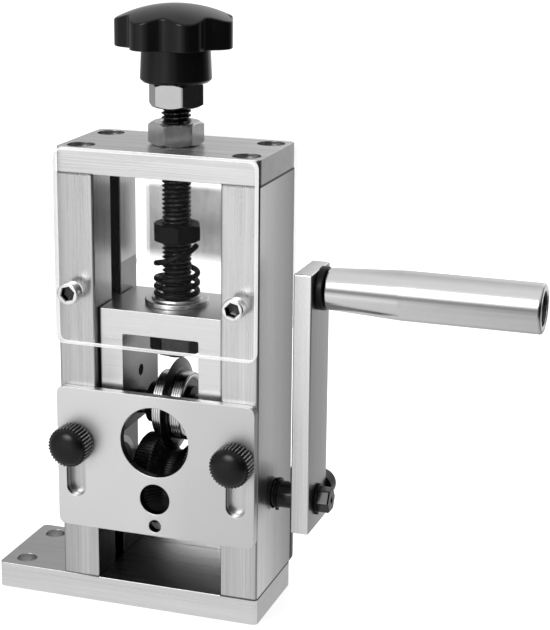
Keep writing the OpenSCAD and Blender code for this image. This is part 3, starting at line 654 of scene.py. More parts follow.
def turned_metal(name, level, gloss, centre, pitch=0.28, depth=0.003, lines_tone=0.05, shading=None):
    """Metal with lathe lines along X round a centre given as (y, z); shading paints light and shade by height
    above it.
    """
    finish = Finish(name)
    x, y, z = finish.parts(finish.spot(1.0, (0.0, centre[0], centre[1])))
    radius = (y * y + z * z).root()
    lines = ((x + radius * 0.83) * (TURN / (pitch * MM))).sine()
    cloud = finish.noise(300.0, detail=3.0)
    base = finishes().steel * level * (1.0 + lines_tone * lines + 0.08 * (cloud - 0.5))
    if shading:
        base = base * shading(z)
    return finish.shade(
        Base_Color=finish.grey(base.least(0.95)), Metallic=1.0,
        Roughness=gloss + 0.05 * lines + 0.08 * (cloud - 0.5),
        Normal=finish.relief(lines, depth * MM, 0.4))


def black_oxide(name, gloss=0.34, level=1.0, wear=0.0, shine=0.0, mirror=0.5, ribs=None):
    """Blackened steel, a little uneven, with worn bright spots where wear is over 0.

    Ribs are given as (count, x, z, radius) for a knurl round Y whose crests are painted bright, a painted
    highlight along each rib."""
    finish = Finish(name)
    cloud = finish.noise(260.0, detail=4.0)
    speck = finish.noise(3000.0, detail=2.0)
    wear_and_glints = (cloud * 0.5 + speck * 0.5).ramp(0.58, 0.72) * wear
    base = finishes().oxide * level * (1.0 + 0.9 * (cloud - 0.5)) + 0.22 * wear_and_glints
    if ribs:
        count, middle_x, middle_z, radius = ribs
        x, y, z = finish.parts(finish.spot(1.0))
        across = abs(x) - middle_x
        up = z - middle_z
        crest = abs((up.angle(across) * count / TURN).share() * 2 - 1).ramp(0.7, 0.95)
        # Painted highlight: the crests of the ribs are made brighter.
        base = base + 0.45 * crest * (across * across + up * up).root().ramp(radius - 0.1 * MM, radius)
    return finish.shade(
        Base_Color=finish.grey(base), Metallic=shine, Specular_IOR_Level=mirror,
        Roughness=gloss + 0.2 * (cloud - 0.5) + 0.1 * (speck - 0.5),
        Normal=finish.relief(speck, 0.006 * MM, 0.3))


def thread_oxide(name, crest, flank):
    """Blackened thread round Z whose crests carry painted glints, in spots."""
    finish = Finish(name)
    x, y, z = finish.parts(finish.spot(1.0))
    radius = (x * x + y * y).root()
    speck = finish.noise((2600.0, 2600.0, 1800.0), detail=3.0)
    # Painted glints in spots on the crests.
    wear_and_glints = radius.ramp(flank, crest) * speck.ramp(0.5, 0.62)
    return finish.shade(
        Base_Color=finish.grey(finishes().oxide * 0.4 + 0.4 * wear_and_glints), Metallic=0.85 * wear_and_glints,
        Specular_IOR_Level=0.1, Roughness=0.3 - 0.06 * wear_and_glints + 0.1 * (speck - 0.5),
        Normal=finish.relief(speck, 0.015 * MM, 0.5))


def moulded(name, colour, gloss, grain=0.0, mirror=0.5):
    """Moulded plastic or rubber."""
    finish = Finish(name)
    speck = finish.noise(1500.0, detail=2.0)
    cloud = finish.noise(90.0, detail=3.0)
    paler = tuple(min(1, 1.9 * c) for c in colour[:3]) + (1,)
    worn = finish.mix(cloud.ramp(0.45, 0.75) * 0.35, colour, paler)
    return finish.shade(
        Base_Color=worn, Specular_IOR_Level=mirror,
        Roughness=gloss + 0.1 * (cloud - 0.5) + grain * (speck - 0.5),
        Normal=finish.relief(speck, 0.01 * MM, 0.15 + grain))


def clear_sheet(name, alpha, gloss=0.04, glow=0.0, patch=None):
    """Clear plastic sheet. Cut edges get a higher alpha and a glow of painted light; the last argument greys
    a patch of it, by place.
    """
    finish = Finish(name)
    cloud = finish.noise(45.0, detail=3.0)
    scuff = finish.noise((500.0, 500.0, 60.0), detail=2.0)
    grey_patch = 0.0
    if patch:
        grey_patch = patch(*finish.parts(finish.spot(1 / MM))) * (0.3 + 1.1 * cloud + 0.3 * scuff)
    return finish.shade(
        Base_Color=finish.grey(0.93 - grey_patch), Specular_IOR_Level=0.1, Roughness=gloss + 0.04 * (cloud - 0.5),
        Alpha=alpha * (1.0 + 0.5 * (cloud - 0.5) + 0.25 * (scuff - 0.5)) + grey_patch * 0.62,
        Emission_Color=(1, 1, 1, 1), Emission_Strength=glow)


# Recipes

def thread_recipe():
    """A helical thread up Z from zero, whose rows follow the helix."""
    recipe = Recipe("Thread", Around=int, Rows=int, Crest=float, Depth=float, Pitch=float, Length=float)
    around = recipe.size("Around")
    rows = recipe.size("Rows")
    pitch = recipe.size("Pitch")
    crest = recipe.size("Crest")
    length = recipe.size("Length")
    depth = recipe.size("Depth")
    grid = recipe.node("GeometryNodeMeshGrid", inputs={0: 1.0, 1: 1.0, 2: around + 1, 3: rows + 1})
    x, y, z = recipe.parts(recipe.node("GeometryNodeInputPosition"))
    share = x + 0.5
    climb = (y + 0.5) * (length + 2 * pitch)
    off_crest = 1 - abs((climb / pitch).share() * 2 - 1)
    radius = crest - depth * off_crest.ramp(0.12, 0.85)
    level = (climb + (share - 1) * pitch).most(0.0).least(length)
    end_radius = crest - depth * 1.25
    bounded = radius.least(end_radius + level.least(length - level))
    angle = share * TURN
    point = recipe.node("ShaderNodeCombineXYZ", inputs={
        0: bounded * angle.cosine(), 1: bounded * angle.sine(), 2: level})
    wall = recipe.node("GeometryNodeSetPosition", inputs={"Geometry": grid, "Position": point})
    disc = recipe.node("GeometryNodeMeshCircle", {"fill_type": "NGON"}, {0: around, 1: end_radius})
    lift = recipe.node("ShaderNodeCombineXYZ", inputs={2: length})
    lid = recipe.node("GeometryNodeTransform", inputs={"Geometry": disc, "Translation": lift})
    whole = recipe.node("GeometryNodeJoinGeometry", inputs={0: [wall, disc, lid]})
    welded = recipe.node("GeometryNodeMergeByDistance", inputs={"Geometry": whole, "Distance": 1e-6})
    recipe.close(welded)
    return recipe


def knurl_recipe():
    """Straight ribs round Z, as deep as the base mesh's own knurl attribute says."""
    recipe = Recipe("Straight knurl", Ribs=int, Depth=float)
    entry = Value(recipe, recipe.entry.outputs[0])
    weight = recipe.node("GeometryNodeInputNamedAttribute", {"data_type": "FLOAT"}, {"Name": "knurl"})
    x, y, z = recipe.parts(recipe.node("GeometryNodeInputPosition"))
    radius = (x * x + y * y).root()
    wave = abs((y.angle(x) * recipe.size("Ribs") / TURN).share() * 2 - 1)
    kept = 1 - weight * recipe.size("Depth") * (1 - wave) / radius.most(1e-6)
    point = recipe.node("ShaderNodeCombineXYZ", inputs={0: x * kept, 1: y * kept, 2: z})
    recipe.close(recipe.node("GeometryNodeSetPosition", inputs={"Geometry": entry, "Position": point}))
    return recipe


def spring_recipe(shares):
    """Wound wire up Z whose rise follows a curve through equally spaced shares."""
    recipe = Recipe("Wound spring", Turns=float, Start=float, Radius=float, Wire=float, Rise=float)
    line = recipe.node("GeometryNodeCurvePrimitiveLine")
    path = recipe.node("GeometryNodeResampleCurve", inputs={"Curve": line, "Count": 260})
    along = recipe.node("GeometryNodeSplineParameter")
    angle = along * recipe.size("Turns") * TURN + recipe.size("Start")
    rise = recipe.node("ShaderNodeFloatCurve", inputs={1: along})
    curve = rise.socket.node.mapping.curves[0]
    curve.points[-1].location = (1.0, shares[-1])
    for i, share in enumerate(shares[1:-1], start=1):
        curve.points.new(i / (len(shares) - 1), share)
    for point in curve.points:
        point.handle_type = "AUTO_CLAMPED"
    rise.socket.node.mapping.update()
    point = recipe.node("ShaderNodeCombineXYZ", inputs={
        0: recipe.size("Radius") * angle.cosine(), 1: recipe.size("Radius") * angle.sine(),
        2: rise * recipe.size("Rise")})
    coil = recipe.node("GeometryNodeSetPosition", inputs={"Geometry": path, "Position": point})
    section = recipe.node("GeometryNodeCurvePrimitiveCircle", inputs={
        "Resolution": 18, "Radius": recipe.size("Wire")})
    tube = recipe.node("GeometryNodeCurveToMesh", inputs={
        "Curve": coil, "Profile Curve": section, "Fill Caps": True})
    recipe.close(tube)
    return recipe


def screw_recipe():
    """One screw on each point, up the point's own axis attribute, at a random turn."""
    recipe = Recipe("Screw pattern", Screw=bpy.types.Object, Seed=int)
    entry = Value(recipe, recipe.entry.outputs[0])
    axis = recipe.node("GeometryNodeInputNamedAttribute", {"data_type": "FLOAT_VECTOR"}, {"Name": "axis"})
    chance = recipe.node("FunctionNodeRandomValue", {"data_type": "FLOAT"}, {
        2: 0.0, 3: TURN, "Seed": recipe.size("Seed")}, output=1)
    spin = recipe.node("FunctionNodeAxisAngleToRotation", inputs={"Axis": (0, 0, 1), "Angle": chance})
    stand = recipe.node("FunctionNodeAlignRotationToVector", {"axis": "Z"}, {"Vector": axis})
    turn = recipe.node("FunctionNodeRotateRotation", {"rotation_space": "LOCAL"}, {
        "Rotation": stand, "Rotate By": spin})
    source = recipe.node("GeometryNodeObjectInfo", inputs={0: recipe.size("Screw")}, output="Geometry")
    placed = recipe.node("GeometryNodeInstanceOnPoints", inputs={
        "Points": entry, "Instance": source, "Rotation": turn})
    recipe.close(placed)
    return recipe


def points_mesh(places, axis):
    """Loose points that carry an axis."""
    mesh = bpy.data.meshes.new("points")
    mesh.from_pydata(places, [], [])
    layer = mesh.attributes.new("axis", "FLOAT_VECTOR", "POINT")
    for entry in layer.data:
        entry.vector = axis
    return mesh


def mark(data, name, weight):
    """Gives the points of a mesh a weight by (radius, height) round Z."""
    layer = data.attributes.new(name, "FLOAT", "POINT")
    for vert, entry in zip(data.vertices, layer.data):
        entry.value = weight(math.hypot(vert.co.x, vert.co.y), vert.co.z)


def with_knurl(mesh, weight):
    """Plain mesh of a build mesh whose points carry a knurl weight by (radius, height)."""
    tidy(mesh)
    data = bpy.data.meshes.new("base")
    mesh.to_mesh(data)
    mesh.free()
    mark(data, "knurl", weight)
    return data


# Shared forms

def cap_screw(head, head_height, shank, shank_length, edge=0.35 * MM):
    """Socket head up Z from zero with its shank below."""
    socket = hexagon(head * 0.55)
    wide = hexagon(head * 0.55 + 2 * edge)
    floor = head_height * 0.36
    outline = rounded([(0, -shank_length), (shank / 2, -shank_length), (shank / 2, 0), (head / 2, 0),
                       (head / 2, head_height), (head * 0.36, head_height)],
                      [0, 0.4 * MM, 0, 0.15 * MM, edge * 1.4, 0], closed=False)
    outline += [(wide, head_height), (socket, head_height - edge), (socket, floor), (0, floor - head * 0.1)]
    return turned(outline, 72)


def screws(node, source, material, slot, places, axis, socket_reach):
    """A pattern of equal screws as one piece; points within a reach of their axis are marked as hollow, where
    the bright finish paints shade into the socket.
    """
    holder = solid_object("screw", source, [material])
    top = max(vert.co.z for vert in holder.data.vertices)
    mark(holder.data, "hollow", lambda r, z: 1.0 if r < socket_reach and 0 < z < top - 0.2 * MM else 0.0)
    mesh = screw_recipe().make(material, points_mesh(places, axis), Screw=holder, Seed=settings().seed)
    bpy.data.objects.remove(holder)
    piece(node, mesh, [material], slot, [node])


def drill(radius, length, count):
    """Plain cylinder up Z from zero, to cut a hole."""
    return turned([(0, 0), (radius, 0), (radius, length), (0, length)], count)


def nut(flats, height, bore, turn_degrees):
    """Hexagonal nut up Z from zero, its corners cut by cones and its bore chamfered."""
    shape = hexagon(flats, math.radians(turn_degrees), 0.05 * MM)
    corner = flats / 2 / math.cos(math.pi / 6)
    face_r = flats * 0.475
    slope = math.tan(math.radians(30))
    drop = (corner - face_r) * slope
    steps = 8

    def cut_back(room):
        limit = face_r + room / slope
        return lambda angle: min(shape(angle), limit)

    profile = [(bore + 0.5 * MM, 0)]
    profile += [(cut_back(drop * k / steps), drop * k / steps) for k in range(steps + 1)]
    profile += [(cut_back(drop * k / steps), height - drop * k / steps) for k in range(steps, -1, -1)]
    profile += [(bore + 0.5 * MM, height), (bore, height - 0.5 * MM), (bore, 0.5 * MM)]
    return turned(profile, 144, closed=True)


def ring(outer, inner, width, edge):
    """Ring up Z from zero with soft edges."""
    return turned(rounded([(inner, 0), (outer, 0), (outer, width), (inner, width)], edge), closed=True)


def clip_outline(outer, bore, gap):
    """Spring clip in its own plane, open towards -Y, wider at the gap and at the top."""
    opening = math.asin(gap / 2 / outer)
    count = 56

    def rim(angle):
        off_gap = abs((angle + math.pi / 2 + math.pi) % TURN - math.pi)
        swell = max(0.0, 1 - abs(off_gap - opening * 1.5) / (opening * 0.9))
        return outer * 0.9 + outer * 0.1 * min(1, 2.2 * swell) + outer * 0.1 * (off_gap / math.pi) ** 2

    start = -math.pi / 2 + opening
    sweep = TURN - 2 * opening
    angles = [start + sweep * i / count for i in range(count + 1)]
    outside = [(rim(a) * math.cos(a), rim(a) * math.sin(a)) for a in angles]
    inside = [(bore * math.cos(a), bore * math.sin(a)) for a in reversed(angles)]
    return outside + inside


# Operators, one for each piece or group of like pieces

class StripperOperator:
    """What the operators share."""

    bl_options = {"REGISTER", "UNDO"}

    def execute(self, context):
        self.build(context.scene)
        return {"FINISHED"}


class STRIPPER_OT_stage(StripperOperator, bpy.types.Operator):
    """Add the camera, the lamps, the world and the floor"""

    bl_idname = "stripper.stage"
    bl_label = "Stage"

    def build(self, scene):
        self.camera(scene)
        self.lamps(scene)
        self.world(scene)
        self.floor(scene)
        scene.view_settings.view_transform = "Standard"

    def camera(self, scene):
        """The photograph's camera: place, directions and lens, for a picture 550 by 630 pixels."""
        wide, tall = 550, 630
        focal_px = 1757.5
        middle_px = (264.97, 298.89)
        place = Vector((209.69, -526.04, 259.26)) * MM
        azimuth, elevation, roll = (math.radians(a) for a in (18.768, 15.220, -0.502))
        forward = Vector((-math.sin(azimuth) * math.cos(elevation), math.cos(azimuth) * math.cos(elevation),
                          -math.sin(elevation)))
        level = forward.cross(Vector((0, 0, 1))).normalized()
        down = forward.cross(level)
        right = level * math.cos(roll) + down * math.sin(roll)
        down = forward.cross(right)
        lens = bpy.data.cameras.new("camera")
        lens.sensor_width = 36.0
        lens.lens = focal_px / tall * lens.sensor_width
        lens.shift_x = (wide / 2 - middle_px[0]) / tall
        lens.shift_y = (middle_px[1] - tall / 2) / tall
        lens.clip_start = 0.01
        lens.clip_end = 50.0
        camera = bpy.data.objects.new("camera", lens)
        camera.matrix_world = turned_to((right, -down, -forward), *place)
        scene.collection.objects.link(camera)
        scene.camera = camera

    def lamps(self, scene):
        stage = scene.stripper_stage
        target = Vector((0, 0, 100 * MM))
        for name, place, width, power in (
                ("key", (-0.85, -1.0, 1.15), 1.1, stage.key),
                ("fill", (1.3, -0.7, 0.7), 0.9, stage.fill),
                ("top", (-0.1, 0.75, 1.3), 1.0, stage.top)):
            light = bpy.data.lights.new(name, "AREA")
            light.shape = "SQUARE"
            light.size = width
            light.energy = power
            lamp = bpy.data.objects.new(name, light)
            lamp.location = place
            lamp.visible_glossy = False
            lamp.rotation_euler = (target - Vector(place)).to_track_quat("-Z", "Y").to_euler()
            scene.collection.objects.link(lamp)

    def around(self, x, y):
        """How bright the studio is towards each side, as the metal mirrors it."""
        levels = ((-180, 0.6), (-160, 0.5), (-130, 0.85), (-105, 1.15), (-80, 0.5), (-59, 0.1),
                  (-30, 0.02), (25, 0.02), (52, 0.25), (64, 0.7), (76, 0.9), (95, 0.8),
                  (112, 0.65), (140, 0.4), (160, 0.45), (180, 0.6))
        share = y.angle(x) / TURN + 0.5
        return share.table([(degrees / 360 + 0.5, level) for degrees, level in levels])

    def world(self, scene):
        """White behind the object; what the metal mirrors is bright at the left and dark at the right."""
        world = bpy.data.worlds.new("studio")
        world.use_nodes = True
        scene.world = world
        nodes = Nodes(world.node_tree)
        x, y, z = nodes.parts(nodes.node("ShaderNodeTexCoord", output="Generated"))
        seen = nodes.node("ShaderNodeLightPath", output="Is Camera Ray")
        glossy = nodes.node("ShaderNodeLightPath", output="Is Glossy Ray")
        through = nodes.node("ShaderNodeLightPath", output="Is Transmission Ray")
        depth = nodes.node("ShaderNodeLightPath", output="Ray Depth")
        side = self.around(x, y) * 1.1
        sky = side + (0.9 - side) * z.ramp(0.3, 0.95)
        front = (-0.21 * x - 0.85 * y + 0.48 * z).ramp(0.92, 1.0)
        back = (0.1 * x + 0.9 * y + 0.42 * z).ramp(0.88, 1.0)
        mirrored = (sky + 9 * front * front + 0.5 * back) * (1 - 0.5 * depth.ramp(1, 3))
        direct = seen.most(through)
        level = direct + (1 - direct) * (glossy * mirrored + (1 - glossy) * 0.5)
        backdrop = nodes.node("ShaderNodeBackground", inputs={"Color": (1, 1, 1, 1), "Strength": level})
        nodes.node("ShaderNodeOutputWorld", inputs={"Surface": backdrop})

    def floor(self, scene):
        """Pale floor that keeps the shadow; the metal mirrors it as bright as the studio behind it."""
        finish = Finish("floor")
        x, y, z = finish.parts(finish.spot(1.0))
        seen = finish.node("ShaderNodeLightPath", output="Is Camera Ray")
        glossy = finish.node("ShaderNodeLightPath", output="Is Glossy Ray")
        depth = finish.node("ShaderNodeLightPath", output="Ray Depth")
        far = (x * x + y * y).root().ramp(0.06, 0.4)
        near = 0.72
        mirrored = (near + far * (0.95 * self.around(x, y) - near)) * (1 - 0.5 * depth.ramp(1, 3))
        grain = finish.noise(30.0, detail=2.0)
        tone = (0.88 + 0.02 * (grain - 0.5)) * (1 - glossy)
        matt = finish.node("ShaderNodeBsdfDiffuse", inputs={"Color": finish.grey(tone), "Roughness": 0.0})
        lit = finish.node("ShaderNodeEmission", inputs={
            "Color": (1, 1, 1, 1), "Strength": seen * 0.62 + glossy * mirrored})
        both = finish.node("ShaderNodeAddShader", inputs={0: matt, 1: lit})
        finish.node("ShaderNodeOutputMaterial", inputs={"Surface": both})
        side = 8.0
        corner = 0.5
        thick = 10 * MM
        below = 0.05 * MM
        mesh = slab(rounded(rectangle(side, side), corner, 6), [], thick, 1 * MM)
        floor = solid_object("floor", mesh, [finish.material, finish.material], upwards(z=-thick - below))


class STRIPPER_OT_plates(StripperOperator, bpy.types.Operator):
    """Make the base plate, the top plate and the low rear plate"""

    bl_idname = "stripper.plates"
    bl_label = "Plates"

    def build(self, scene):
        edge = settings().edge
        bore = 5.2 * MM
        recess = 6 * MM
        mouth = FRAME_HEAD / 2 + 0.3 * MM
        corner = 2 * MM
        screw_x = high("top_screws").x - FRAME_HEAD / 2
        screw_y = high("top_screws").y - FRAME_HEAD / 2
        places = [(x, y) for x in (-screw_x, screw_x) for y in (-screw_y, screw_y)]
        inner = low("right_column").x / MM
        outer = high("right_column").x / MM
        seam_z = low("top_plate").z / MM
        base_z = high("base_plate").z / MM

        def top_shading(x, y, z):
            """Painted shade in the joint above the columns and on the ends."""
            joint = z.ramp(seam_z + 0.5, seam_z + 0.25) * abs(x).ramp(inner - 0.3, inner)
            end = 1 - 0.42 * abs(x).ramp(outer - 0.2, outer - 0.05)
            return end * (1 - joint * (0.5 + 0.45 * abs(x).ramp(outer - 0.8, outer - 0.2)))

        def base_shading(x, y, z):
            """Painted shade on the upper face, painted shade and reflection between the columns, and painted
            shade in the joint round their feet and on the right end.
            """
            face = z.ramp(base_z - 0.1, base_z - 0.02)
            between = abs(x).ramp(inner + 0.2, inner)
            feet = abs(x).ramp(inner, inner + 0.2) * x.ramp(-outer, -inner)
            joint = 0.9 * feet * z.ramp(base_z - 0.4, base_z - 0.2)
            # Painted shade and reflection on the upper face between the columns.
            painted_shade_between = 0.12 * x.ramp(8, -16) + 0.04 * y.ramp(2, -18) + 0.2 * x.ramp(4, 18) * y.ramp(-8, 10)
            end = 0.36 * x.ramp(outer - 0.2, outer - 0.05)
            return (1 - face * (0.38 + between * (painted_shade_between - 0.2))) * (1 - joint) * (1 - end)

        def rear_shading(x, y, z):
            """Painted shade on the side edges, nearly black."""
            return 1 - 0.99 * abs(x).ramp(outer - 1, outer - 0.6)

        brushed = aluminium("brushed_top", along=X, gloss=0.3, streaks=0.32, shading=top_shading)
        milled = aluminium("brushed_base", along=X, level=1.12, gloss=0.3, streaks=0.12,
                           shading=base_shading)
        plain = aluminium("brushed_rear", along=X, gloss=0.3, shading=rear_shading)
        # The walls of the screw recesses take a darker copy of the aluminium: painted shade.
        sunk = aluminium("sunk_recess", along=Z, level=0.6, gloss=0.3)

        top = size("top_plate")
        through = [(0, bore / 2 - mouth), (top.z - recess, bore / 2 - mouth), (top.z - recess, 0),
                   (top.z - edge, 0), (top.z - edge / 3, edge / 3), (top.z, edge)]
        rod = circle(size("pressure_screw").x / 2 + 0.05 * MM, count=72)
        mesh = slab(rounded(rectangle(top.x, top.y), corner, 6), [rod], top.z, edge,
                    stepped=[(circle(mouth, p, 72), through) for p in places])
        piece("top_plate", mesh, [brushed, brushed, sunk], "plate_aluminium", ["top_plate"],
              upwards(z=low("top_plate").z))

        base = size("base_plate")
        base_x = middle("base_plate", X)
        below = [(0, edge), (edge / 3, edge / 3), (edge, 0), (recess, 0), (recess, bore / 2 - mouth),
                 (base.z, bore / 2 - mouth)]
        ear_r = 3.5 * MM
        ear_x = low("base_plate").x + 7.5 * MM
        ear_y = 11.5 * MM
        ears = [circle(ear_r, (ear_x - base_x, y), 64) for y in (-ear_y, ear_y)]
        mesh = slab(rounded(rectangle(base.x, base.y), corner, 6), ears, base.z, edge,
                    stepped=[(circle(mouth, (x - base_x, y), 72), below) for x, y in places])
        piece("base_plate", mesh, [milled, milled, sunk], "plate_aluminium", ["base_plate"],
              upwards(base_x, 0, low("base_plate").z))

        rear = size("rear_plate")
        hole_r = 2.1 * MM
        hole_z = middle("rear_plate_screws", Z) - low("rear_plate").z - rear.z / 2
        holes = [circle(hole_r, (x, hole_z), 48) for x in (-screw_x, screw_x)]
        mesh = slab(rounded(rectangle(rear.x, rear.z), corner, 6), holes, rear.y, edge)
        place = to_rear(0, low("rear_plate").y, low("rear_plate").z + rear.z / 2)
        piece("rear_plate", mesh, [plain, plain], "plate_aluminium", ["rear_plate"], place)


class STRIPPER_OT_columns(StripperOperator, bpy.types.Operator):
    """Make the two grooved columns"""

    bl_idname = "stripper.columns"
    bl_label = "Columns"

    def build(self, scene):
        inner_x = low("right_column").x / MM
        outer_x = high("right_column").x / MM
        front_y = low("right_column").y / MM
        top_z = high("right_column").z / MM
        foot_z = low("right_column").z / MM
        sprung_z = high("blade_carrier").z / MM + 10.9
        groove_y = 3.8
        groove_deep = 3.7
        floor_x = inner_x + groove_deep

        def shading(x, y, z):
            """Painted shade in the grooves, in the joints and on the inner faces, painted light and shade
            across each face, and a painted reflection on the left inner face behind the groove.
            """
            across = abs(x)
            left = x.ramp(-20, -22)
            right = x.ramp(0, 1)
            front = 0.82 + 0.14 * x.ramp(-outer_x, -inner_x - 1)
            front = front * (0.82 - 0.03 * right + 0.05 * x.ramp(inner_x, inner_x + 4))
            side = 1 - across.ramp(outer_x - 0.2, outer_x - 0.05) * (0.7 * y.ramp(-15, 18) - 0.1)
            inner = across.ramp(inner_x + 0.1, inner_x)
            low_down = 0.6 * z.ramp(84, 64) - 0.15 * z.ramp(45, 30)
            # Painted shade on the inner faces, darker lower down and towards the front.
            inner_shade = 1 - inner * (0.05 + 0.3 * y.ramp(-4, front_y) + low_down)
            behind = y.ramp(groove_y, groove_y + 0.2)
            # Painted reflection of the carrier: darker on the left inner face behind the groove, below a set
            # height.
            mirrored = 1 - 0.5 * inner * left * behind * z.ramp(sprung_z, sprung_z - 0.3)
            corner = across.ramp(outer_x - 0.7, outer_x - 0.3) * y.ramp(front_y + 0.8, front_y + 0.4)
            deep = across.ramp(inner_x, inner_x + 0.1) * across.ramp(floor_x + 0.3, floor_x + 0.1)
            groove = 1 - 0.96 * deep * abs(y).ramp(groove_y + 0.15, groove_y)
            joint = (z - foot_z).least(top_z - z).ramp(0.3, 0.55)
            seam = 1 - (1 - joint) * (0.6 + 0.38 * across.ramp(outer_x - 0.8, outer_x - 0.2))
            return front * side * inner_shade * mirrored * (1 - 0.6 * corner) * groove * seam

        drawn = aluminium("drawn_column", along=Z, level=1.15, gloss=0.3, streaks=0.24, shading=shading)
        groove_half = groove_y * MM
        groove_depth = groove_deep * MM
        corner = 1 * MM
        clip_hole = 5.2 * MM
        through = 16 * MM
        over = 1 * MM
        shaft_z = middle("drive_roller", Z)
        for side, node in ((1, "right_column"), (-1, "left_column")):
            inner = min(abs(low(node).x), abs(high(node).x))
            outer = max(abs(low(node).x), abs(high(node).x))
            deep = high(node).y
            floor = inner + groove_depth
            points = [(outer, -deep), (outer, deep), (inner, deep), (inner, groove_half),
                      (floor, groove_half), (floor, -groove_half), (inner, -groove_half), (inner, -deep)]
            radii = [corner, corner, corner, 0.4 * MM, 0.3 * MM, 0.3 * MM, 0.4 * MM, corner]
            if side < 0:
                points = [(-x, y) for x, y in reversed(points)]
                radii.reverse()
            mesh = slab(rounded(points, radii, 5), [], size(node).z, 0.3 * MM)
            bearing = "right_bearing_outer" if side > 0 else "left_bearing_outer"
            seat_r = size(bearing).y / 2
            seat_depth = max(abs(low(bearing).x), abs(high(bearing).x)) - inner + over
            outwards = to_right if side > 0 else to_left
            bore = turned([(0, 0), (seat_r, 0), (seat_r, seat_depth), (clip_hole, seat_depth),
                           (clip_hole, through), (0, through)])
            moved(bore, outwards(side * (inner - over), 0, shaft_z))
            piece(node, mesh, [drawn, drawn], "column_aluminium", [node], upwards(z=low(node).z), [bore])


class STRIPPER_OT_guards(StripperOperator, bpy.types.Operator):
    """Make the clear guards"""

    bl_idname = "stripper.guards"
    bl_label = "Guards"

    def build(self, scene):
        # The cut edges glow: painted light for the light the polished edges catch.
        rim = clear_sheet("clear_guard_edge", 0.85, 0.2, glow=0.3)

        def grey_patch(x, y, z):
            """A grey, cloudy patch on the rear guard between the columns."""
            across = x.ramp(-18.8, -18.2) * (1 - x.ramp(19, 22))
            return across * z.ramp(112.5, 117) * (1 - z.ramp(138.5, 140)) * 0.8

        screw_z = middle("front_guard_screws", Z)
        screw_x = high("front_guard_screws").x - GUARD_HEAD / 2
        hole_r = 2.1 * MM
        corner = 3 * MM
        for node, facing in (("front_guard", to_front), ("rear_guard", to_rear)):
            extent = size(node)
            middle_z = middle(node, Z)
            holes = [circle(hole_r, (x, screw_z - middle_z), 40) for x in (-screw_x, screw_x)]
            mesh = slab(rounded(rectangle(extent.x, extent.z), corner, 8), holes, extent.y, 0.3 * MM)
            back = high(node).y if facing is to_front else low(node).y
            face = clear_sheet("clear_" + node, 0.005, patch=None if facing is to_front else grey_patch)
            piece(node, mesh, [face, rim], "clear_plastic", [node], facing(0, back, middle_z))


class STRIPPER_OT_guide_plate(StripperOperator, bpy.types.Operator):
    """Make the sliding guide plate with its feed holes and slots"""

    bl_idname = "stripper.guide_plate"
    bl_label = "Guide plate"

    def build(self, scene):
        satin = satin_aluminium("satin_guide")
        node = "guide_plate"
        extent = size(node)
        middle_z = middle(node, Z)
        bottom = -extent.z / 2
        feed_holes = ((12.0, 33.0), (5.25, 13.1), (2.15, 3.6))
        holes = [circle(r * MM, (0, bottom + up * MM)) for r, up in feed_holes]
        slot_x = middle("right_column", X)
        thumb_z = middle("right_thumb_screw", Z) - middle_z
        slot_width = 6.7 * MM
        slot_high = thumb_z + 0.4 * MM
        slot_low = thumb_z - 15.95 * MM
        holes += [slot_outline(slot_width, slot_low, slot_high, x) for x in (-slot_x, slot_x)]
        corner = 3 * MM
        outline = rounded(rectangle(extent.x, extent.z), corner, 8)
        mesh = slab(outline, holes, extent.y, 0.2 * MM, hole_index=2)

        face_y = low(node).y / MM
        foot_z = (middle_z + slot_low) / MM

        def shading(x, y, z):
            """Painted shade on the walls of the holes, lighter deeper in the slots, and a painted highlight
            at the foot of each slot.
            """
            slot = abs(x).ramp(22, 24)
            foot = z.ramp(foot_z - 2.6, foot_z - 3.1) * slot
            deep = 0.7 * slot * y.ramp(face_y + 0.9, face_y + 1.3)
            return 1 - y.ramp(face_y + 0.1, face_y + 0.3) * (0.95 - foot.most(deep))

        sunk = aluminium("sunk_guide", along=Y, gloss=0.3, shading=shading)
        piece(node, mesh, [satin, satin, sunk], "satin_aluminium", [node],
              to_front(0, high(node).y, middle_z))


class STRIPPER_OT_screws(StripperOperator, bpy.types.Operator):
    """Make the socket screws of the frame, the guards and the rear plate"""

    bl_idname = "stripper.screws"
    bl_label = "Socket screws"

    def build(self, scene):
        bright = bright_metal("bright_screws", level=1.1, gloss=0.2, mottle=0.3)
        black = black_oxide("black_screws", gloss=0.34, mirror=0.35, wear=1.6)
        for node, material, slot, facing in (
                ("top_screws", bright, "bright_screws", 1), ("base_screws", black, "black_steel", -1)):
            x = high(node).x - FRAME_HEAD / 2
            y = high(node).y - FRAME_HEAD / 2
            seat = high(node).z - FRAME_HEAD_H if facing > 0 else low(node).z + FRAME_HEAD_H
            source = cap_screw(
                FRAME_HEAD, FRAME_HEAD_H, shank=5 * MM, shank_length=size(node).z - FRAME_HEAD_H)
            places = [(sx * x, sy * y, seat) for sx in (-1, 1) for sy in (-1, 1)]
            screws(node, source, material, slot, places, (0, 0, facing), FRAME_HEAD * SOCKET_REACH)
        for node, facing in (
                ("front_guard_screws", -1), ("rear_guard_screws", 1), ("rear_plate_screws", 1)):
            x = high(node).x - GUARD_HEAD / 2
            z = high(node).z - GUARD_HEAD / 2
            seat = low(node).y + GUARD_HEAD_H if facing < 0 else high(node).y - GUARD_HEAD_H
            source = cap_screw(
                GUARD_HEAD, GUARD_HEAD_H, shank=4 * MM, shank_length=size(node).y - GUARD_HEAD_H)
            places = [(sx * x, seat, z) for sx in (-1, 1)]
            screws(node, source, bright, "bright_screws", places, (0, facing, 0),
                   GUARD_HEAD * SOCKET_REACH)


